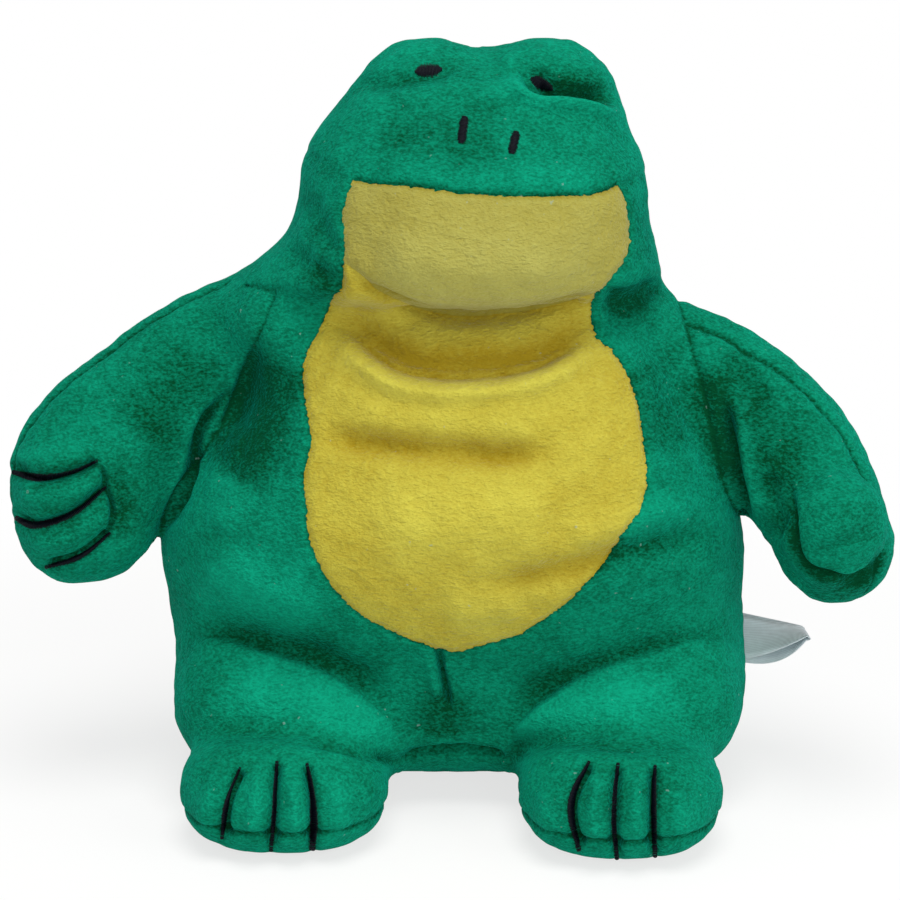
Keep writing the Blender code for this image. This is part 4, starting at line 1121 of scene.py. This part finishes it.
# Noise of thread and ribbon, at the objects' own scale in metres
TWIST_NOISE = (2500.0, 2.0)
TWIST_TONES = (0.3, 0.7, 0.6, 1.5)
TWIST_BUMPS = (0.5, 0.05)
THREAD_SURFACE = {"Roughness": 0.5, "Specular IOR Level": 0.1}
CLOUD_NOISE = (260.0, 3.0)
CLOUD_TONES = (0.3, 0.7, 0.9, 1.05)
WEAVE = {"Scale": 900.0, "Distortion": 1.0}
WEAVE_TONES = (0.0, 1.0, 0.93, 1.03)
WEAVE_BUMPS = (0.3, 0.04)
SATIN_SURFACE = {"Roughness": 0.42, "Anisotropic": 0.5}


def thread_cloth(name, colour):
    """Shiny embroidery thread with a fine twist."""
    made, tree, shader = new_material(name)
    twist = noise_at(tree, object_place(tree), *TWIST_NOISE)
    bright = mapped(tree, twist, *TWIST_TONES)
    put(tree, shader, {**THREAD_SURFACE, "Base Color": brightened(tree, colour, bright),
                       "Normal": bumped(tree, twist, *TWIST_BUMPS)})
    return made


def satin_ribbon(name, colour):
    """Smooth ribbon with a fine weave across it."""
    made, tree, shader = new_material(name)
    place = object_place(tree)
    weave = add(tree, "TexWave", {**WEAVE, "Vector": place})
    weave.bands_direction = "Z"
    weave = weave.outputs["Fac"]
    cloud = mapped(tree, noise_at(tree, place, *CLOUD_NOISE), *CLOUD_TONES)
    bright = math_node(tree, "MULTIPLY", cloud, mapped(tree, weave, *WEAVE_TONES))
    put(tree, shader, {**SATIN_SURFACE, "Base Color": brightened(tree, colour, bright),
                       "Normal": bumped(tree, weave, *WEAVE_BUMPS)})
    return made


GREEN_LIT = (0.0030, 0.330, 0.190)
GREEN_DEEP = (0.0003, 0.055, 0.018)
GREEN_SHEEN = (0.0, 0.62, 0.48)
YELLOW_LIT = (0.610, 0.560, 0.078)
YELLOW_DEEP = (0.340, 0.240, 0.012)
# The chin's darker, greyer copy of the yellow: painted shade where the chin faces away from the light, and a
# painted sheen in its bluer tint
SHADED_CHIN_LIT = (0.420, 0.400, 0.100)
SHADED_CHIN_DEEP = (0.300, 0.250, 0.030)
LINT = (0.30, 0.44, 0.42)
YELLOW_SHEEN = (0.90, 0.88, 0.55)
# How strong the yellow pile's mottling is, where the green's is 1
YELLOW_DEPTH = 0.5
THREAD_BLACK = (0.0022, 0.0030, 0.0062)
SATIN_WHITE = (0.66, 0.74, 0.78)


def linked(name, data):
    """A new object in the scene."""
    made = bpy.data.objects.new(name, data)
    bpy.context.scene.collection.objects.link(made)
    return made


def make_mesh(name, verts, faces, material):
    """A mesh object from places in millimetres."""
    mesh = bpy.data.meshes.new(name)
    mesh.from_pydata((verts * MM).tolist(), [], faces)
    mesh.polygons.foreach_set("use_smooth", [True] * len(mesh.polygons))
    mesh.materials.append(material)
    return linked(name, mesh)


def panel_piece(name, skin, material):
    """One panel cut out of the skin."""
    verts, tris, normals, names, away, painted_shade_and_light = skin
    chosen = tris[names == name]
    used, slots = np.unique(chosen, return_inverse=True)
    piece = make_mesh(name, verts[used], slots.reshape(-1, 3).tolist(), material)
    for label, kind, field, values in (
            ("rest", "FLOAT_VECTOR", "vector", verts), ("seam", "FLOAT", "value", away),
            ("painted_shade_and_light", "FLOAT", "value", painted_shade_and_light)):
        made = piece.data.attributes.new(label, kind, "POINT")
        made.data.foreach_set(field, values[used].astype(np.float32).ravel())
    piece.data.normals_split_custom_set_from_vertices(normals[used].tolist())
    return piece


def bend_to(piece, body):
    """Apply a piece's transform to its mesh; the piece stays where it is made."""
    if body == "head":
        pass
    elif body.startswith("leg"):
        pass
    else:
        side = body.split("_")[1]
        outward = armhole(side, np.zeros((1, 3)))[1]
    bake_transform(piece)


# Velour pieces: the body that each belongs to, and the solids whose place it takes
PANELS = {"seat_panel": (None, ("seat_panel", "torso_filling", "pellet_pouch"))}
for name in ("tummy_panel", "front_panel_left", "front_panel_right", "back_panel_left", "back_panel_right",
             "face_panel", "chin_panel", "head_back_left", "head_back_right"):
    PANELS[name] = ("head", (name,))
PANELS["face_panel"] = ("head", ("face_panel", "head_filling"))
for side in SIDES:
    PANELS[f"arm_front_panel_{side}"] = (f"arm_{side}", (f"arm_front_panel_{side}", f"arm_filling_{side}"))
    PANELS[f"arm_back_panel_{side}"] = (f"arm_{side}", (f"arm_back_panel_{side}",))
    PANELS[f"foot_top_panel_{side}"] = (f"leg_{side}", (f"foot_top_panel_{side}", f"leg_filling_{side}"))
    PANELS[f"sole_panel_{side}"] = (f"leg_{side}", (f"sole_panel_{side}",))

# Embroidery: the threads' size in millimetres, their spacing in pixels
STITCH_RADIUS = 0.17
STITCH_PITCH = 1.25
STITCH_POINTS = 6
STITCH_SIDES = 6
STITCH_RISE = 0.22
STITCH_SINK = 0.10
FEWEST_STITCHES = 3
# How unevenly threads reach, rise and thicken, as shares
STITCH_REACHES = (0.88, 1.12)
STITCH_RISES = (0.8, 1.2)
STITCH_RADII = (0.85, 1.1)
# A thread longer than this many half widths, and a millimetre more, would span a gap in the skin
LONGEST_STITCH = 8
# A direction that no thread runs in, and how far a thread's tips are from a point, in radians
ASIDE = (0.31, 0.17, 0.93)
TUBE_TIP = 0.18


def hit(bvh, start, run):
    """Place and normal where a ray meets the skin."""
    place, normal, _, _ = bvh.ray_cast(Vector(start), Vector(run))
    return None if place is None else (np.array(place), np.array(normal))


def tube(path, radius):
    """Vertices and faces of a closed tube with rounded ends through a path."""
    run = np.gradient(path, axis=0)
    run /= np.maximum(np.linalg.norm(run, axis=1), 1 / FAR)[:, None]
    side = np.cross(run, ASIDE)
    side /= np.linalg.norm(side, axis=1)[:, None]
    up = np.cross(run, side)
    turns = np.linspace(0, 2 * math.pi, STITCH_SIDES, endpoint=False)
    ring = np.cos(turns)[None, :, None] * side[:, None] + np.sin(turns)[None, :, None] * up[:, None]
    wide = radius * np.sqrt(np.sin(np.linspace(TUBE_TIP, math.pi - TUBE_TIP, len(path))))
    verts = (path[:, None] + ring * wide[:, None, None]).reshape(-1, 3)
    faces = []
    for a in range(0, (len(path) - 1) * STITCH_SIDES, STITCH_SIDES):
        for j in range(STITCH_SIDES):
            k = (j + 1) % STITCH_SIDES
            b = a + STITCH_SIDES
            faces.append((a + j, a + k, b + k, b + j))
    faces.append(tuple(reversed(range(STITCH_SIDES))))
    faces.append(tuple((len(path) - 1) * STITCH_SIDES + j for j in range(STITCH_SIDES)))
    return verts, faces


def stitched(name, finder, route, halves, material, seed):
    """A satin-stitched line: short arched threads laid side by side across a route."""
    chance = np.random.default_rng(seed)
    route = np.asarray(route, float)
    halves = np.broadcast_to(np.asarray(halves, float), len(route))
    length = np.linalg.norm(np.diff(route, axis=0), axis=1).sum()
    count = max(int(length / STITCH_PITCH), FEWEST_STITCHES)
    table = resampled(np.column_stack((route, halves)), count)
    runs = np.gradient(table[:, :2], axis=0)
    runs /= np.linalg.norm(runs, axis=1)[:, None]
    verts, faces = [], []
    for (x, y, half), run in zip(table, runs):
        across = np.array((-run[1], run[0]))
        across /= np.linalg.norm(across)
        reach = half * chance.uniform(*STITCH_REACHES, size=2)
        shares = np.linspace(-1, 1, STITCH_POINTS)
        steps = np.where(shares < 0, shares * reach[0], shares * reach[1])
        spots = np.array((x, y)) + steps[:, None] * across
        found = [finder(spot) for spot in spots]
        if any(item is None for item in found):
            continue
        normal = found[len(found) // 2][1]
        rise = STITCH_RISE * (1 - shares ** 2) * chance.uniform(*STITCH_RISES) - STITCH_SINK * shares ** 4
        path = np.array([place for place, _ in found]) + normal * rise[:, None]
        if np.linalg.norm(path[0] - path[-1]) > LONGEST_STITCH * half * PX + 1:
            continue
        made, rings = tube(path, STITCH_RADIUS * chance.uniform(*STITCH_RADII))
        offset = sum(len(v) for v in verts)
        verts.append(made)
        faces += [tuple(index + offset for index in face) for face in rings]
    return make_mesh(name, np.concatenate(verts), faces, material)


# Eyes and nostrils: the ends of each one's middle line, half width
EYES_px = {
    "right": ((415.5, 71.8), (441.5, 69.2), 7.6),
    "left": ((531.0, 78.0), (552.0, 89.5), 6.8),
}
NOSTRILS_px = {
    "right": ((465.0, 117.0), (461.0, 143.0), 5.0),
    "left": ((516.5, 132.0), (511.5, 153.5), 4.9),
}
# The least squared share of an eye's width at its ends; a nostril's narrowing there and its power
EYE_TIP = 0.06
NOSTRIL_TAPER = (0.35, 6)
OVAL_POINTS = 9
TOE_WIDTHS = {
    "right": ((1.2, 1.5, 3.2, 1.8), (1.8, 2.0, 2.6, 2.2), (1.6, 3.0, 4.4, 3.4)),
    "left": ((1.6, 3.4, 4.0, 2.6), (1.8, 2.4, 2.8, 2.4), (1.6, 2.6, 3.2, 2.6)),
}
FINGER_WIDTHS = ((2.4, 4.2, 3.4, 2.2, 1.4), (2.6, 4.2, 3.6, 3.0, 1.6), (2.0, 3.0, 2.4, 1.4))
# The other hand's finger lines, on its far side, in millimetres across and up
BACK_FINGERS = (
    ((89.5, 63.5), (85.0, 65.0), (80.0, 66.2)),
    ((88.0, 55.6), (83.5, 57.0), (79.0, 58.5)),
    ((84.5, 48.8), (81.0, 50.2), (77.5, 51.6)),
)
BACK_FINGER_HALF = 0.55
BEHIND = 60.0
# Seeds of the threads' unevenness; a toe or finger adds its number, from 0
SEEDS = {"eye": 11, "nostril": 12, "toe": 20, "finger": 30, "back_finger": 40}


def embroider(bvh, thread):
    """Eyes, nostrils, toe lines and finger lines."""
    def front(spot):
        return hit(bvh, *photo_ray(spot))

    def behind(spot):
        return hit(bvh, (spot[0] * PX, BEHIND, spot[1] * PX), (0, -1, 0))

    def sew(name, body, *stitches):
        piece = stitched(name, *stitches)
        if body == "head":
            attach(piece, "head")
        else:
            bend_to(piece, body)
        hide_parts(name)

    shares = np.linspace(-1, 1, OVAL_POINTS)
    taper, power = NOSTRIL_TAPER
    ovals = (("eye", EYES_px, np.sqrt(np.maximum(1 - shares ** 2, EYE_TIP))),
             ("nostril", NOSTRILS_px, 1 - taper * shares ** power))
    for side in SIDES:
        for kind, places, width in ovals:
            a, b, half = places[side]
            route = [np.array(a) + (np.array(b) - a) * (share + 1) / 2 for share in shares]
            sew(f"{kind}_{side}", "head", front, route, half * width, thread, SEEDS[kind])
        for index, (line, widths) in enumerate(zip(TOE_LINES_px[side], TOE_WIDTHS[side])):
            name = f"toe_line_{side}_{index + 1}"
            sew(name, f"leg_{side}", front, line, widths, thread, SEEDS["toe"] + index)
        for index in range(3):
            stitches = (front, FINGER_LINES_px[index], FINGER_WIDTHS[index], thread, SEEDS["finger"] + index)
            if side == "left":
                line = np.array(BACK_FINGERS[index]) / PX
                stitches = (behind, line, BACK_FINGER_HALF / PX, thread, SEEDS["back_finger"] + index)
            sew(f"finger_line_{side}_{index + 1}", f"arm_{side}", *stitches)


# The folded ribbon in the side seam, in millimetres
LABEL_WIDTH = 11.0
LABEL_LENGTH = 34.0
LABEL_THICK = 0.22
LABEL_STEPS = 48
LABEL_ACROSS = 8
LABEL_SEAM = (60.2, 4.0, 32.5)
LABEL_BEND = 0.9
# How far the ribbon slants down from level as it runs out of the seam, in degrees
LABEL_DROOP_DEG = 13.0
# How far each layer is turned up at the seam, and how much further at the fold
LABEL_NEAR_DEG = (42.0, 58.0)
LABEL_FAR_DEG = (32.0, 60.0)


def make_label(material):
    """A ribbon that leaves the seam, folds back on itself and returns, open at its lower edge."""
    lap = LABEL_LENGTH / 2 - LABEL_BEND * math.pi / 2
    droop = math.radians(LABEL_DROOP_DEG)
    verts, faces = [], []
    for index in range(LABEL_STEPS + 1):
        along = index / LABEL_STEPS * LABEL_LENGTH
        if along < lap:
            out, deep, back = along, -LABEL_BEND, 0.0
        elif along > LABEL_LENGTH - lap:
            out, deep, back = LABEL_LENGTH - along, LABEL_BEND, 1.0
        else:
            angle = (along - lap) / LABEL_BEND
            out = lap + LABEL_BEND * math.sin(angle)
            deep = -LABEL_BEND * math.cos(angle)
            back = angle / math.pi
        far = min(out / lap, 1.0)
        opened = math.radians((LABEL_NEAR_DEG[0] + LABEL_NEAR_DEG[1] * far) * (1 - back)
                              + (LABEL_FAR_DEG[0] + LABEL_FAR_DEG[1] * far * far) * back)
        for step in range(LABEL_ACROSS + 1):
            down = step / LABEL_ACROSS * LABEL_WIDTH
            verts.append((
                LABEL_SEAM[0] + out * math.cos(droop),
                LABEL_SEAM[1] + deep - down * math.sin(opened),
                LABEL_SEAM[2] - out * math.sin(droop) - down * math.cos(opened)))
    for i in range(LABEL_STEPS):
        for j in range(LABEL_ACROSS):
            a = i * (LABEL_ACROSS + 1) + j
            b = a + LABEL_ACROSS + 1
            faces.append((a, a + 1, b + 1, b))
    piece = make_mesh("label_loop", np.array(verts), faces, material)
    thick = piece.modifiers.new("thickness", "SOLIDIFY")
    thick.thickness = LABEL_THICK * MM
    thick.offset = 0.0
    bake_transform(piece)
    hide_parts("label_loop")


def build_frog():
    green = velour("green_velour", GREEN_LIT, GREEN_DEEP, GREEN_SHEEN, 1.0)
    yellow = velour("yellow_velour", YELLOW_LIT, YELLOW_DEEP, YELLOW_SHEEN, YELLOW_DEPTH)
    # The chin gets a copy of the yellow velour with painted shade and a painted sheen
    chin = velour("chin_velour_painted_shade", SHADED_CHIN_LIT, SHADED_CHIN_DEEP, YELLOW_SHEEN, YELLOW_DEPTH)
    skin = skin_of_frog()
    for name, (body, nodes) in PANELS.items():
        cloth = {"tummy_panel": yellow, "chin_panel": chin}.get(name, green)
        piece = panel_piece(name, skin, cloth)
        if body is None:
            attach(piece, "torso")
        else:
            bend_to(piece, body)
        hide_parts(*nodes)
    verts, tris = skin[:2]
    embroider(BVHTree.FromPolygons(verts.tolist(), tris.tolist()), thread_cloth("black_thread", THREAD_BLACK))
    make_label(satin_ribbon("satin", SATIN_WHITE))


build_frog()
bpy.context.scene.view_settings.view_transform = "Standard"

# Camera, light and stage
CLIPS = (0.01, 100.0)
# Lamps: place, size across in metres, power in watts, colour; all aim at one spot on the frog
LAMPS = {
    "window": ((0.05, -0.35, 1.1), 0.7, 8.0, (1.0, 0.99, 0.97)),
    "front": ((0.15, -1.15, 0.35), 0.8, 4.2, (0.98, 0.99, 1.0)),
    "side": ((0.9, -0.6, 0.45), 0.7, 2.6, (0.98, 0.99, 1.0)),
}
LAMP_AIM = (0.0, 0.0, 0.06)
# The room's light on the frog, where the white behind it is 1
ROOM_LEVEL = 0.36
WHITE = (1.0, 1.0, 1.0)
FLOOR_SURFACE = {"Base Color": (0.80, 0.80, 0.80), "Roughness": 1.0, "Specular IOR Level": 0.0}
FLOOR_GLOW = 0.72
FLOOR_FADE = (110.0, 240.0)
FLOOR_HALF = 6000.0


def area_light(name, place, size, power, colour):
    data = bpy.data.lights.new(name, "AREA")
    data.shape = "DISK"
    data.size = size
    data.energy = power
    data.color = colour
    light = linked(name, data)
    light.location = place
    aim = Vector(LAMP_AIM) - Vector(place)
    light.rotation_euler = aim.to_track_quat("-Z", "Y").to_euler()


def floor_material():
    """Pale floor: white to the camera except for the frog's soft shadow."""
    made, tree, shader = new_material("floor")
    put(tree, shader, FLOOR_SURFACE)
    away = tree.nodes.new("ShaderNodeVectorMath")
    away.operation = "LENGTH"
    put(tree, away, {0: object_place(tree)})
    fade = mapped(tree, away.outputs["Value"], *[reach * MM for reach in FLOOR_FADE], FLOOR_GLOW, 1.0)
    glow = add(tree, "Emission", {"Strength": fade}).outputs[0]
    dim = add(tree, "BsdfDiffuse", {"Color": math_node(tree, "SUBTRACT", 1.0, fade)}).outputs[0]
    both = add(tree, "AddShader", {0: glow, 1: dim}).outputs[0]
    choice = add(tree, "MixShader", {"Fac": seen_by_camera(tree), 1: shader.outputs[0], 2: both})
    out = next(node for node in tree.nodes if node.type == "OUTPUT_MATERIAL")
    put(tree, out, {"Surface": choice.outputs[0]})
    return made


camera_data = bpy.data.cameras.new("camera")
camera_data.lens = CAMERA_LENS
camera_data.sensor_width = SENSOR
camera_data.clip_start, camera_data.clip_end = CLIPS
camera = linked("camera", camera_data)
camera.location = [value * MM for value in CAMERA_PLACE]
camera.rotation_euler = (math.pi / 2 - LEAN, 0.0, 0.0)
bpy.context.scene.camera = camera
for name, lamp in LAMPS.items():
    area_light(name, *lamp)
corners = np.array(((-1, -1, 0), (1, -1, 0), (1, 1, 0), (-1, 1, 0))) * FLOOR_HALF
make_mesh("floor", corners, [(0, 1, 2, 3)], floor_material())

world = bpy.data.worlds.new("room")
world.use_nodes = True
bpy.context.scene.world = world
backdrop = next(node for node in world.node_tree.nodes if node.type == "BACKGROUND")
level = add(world.node_tree, "MapRange", {
    "Value": seen_by_camera(world.node_tree), "To Min": ROOM_LEVEL, "To Max": 1.0})
put(world.node_tree, backdrop, {"Strength": level.outputs["Result"], "Color": WHITE})
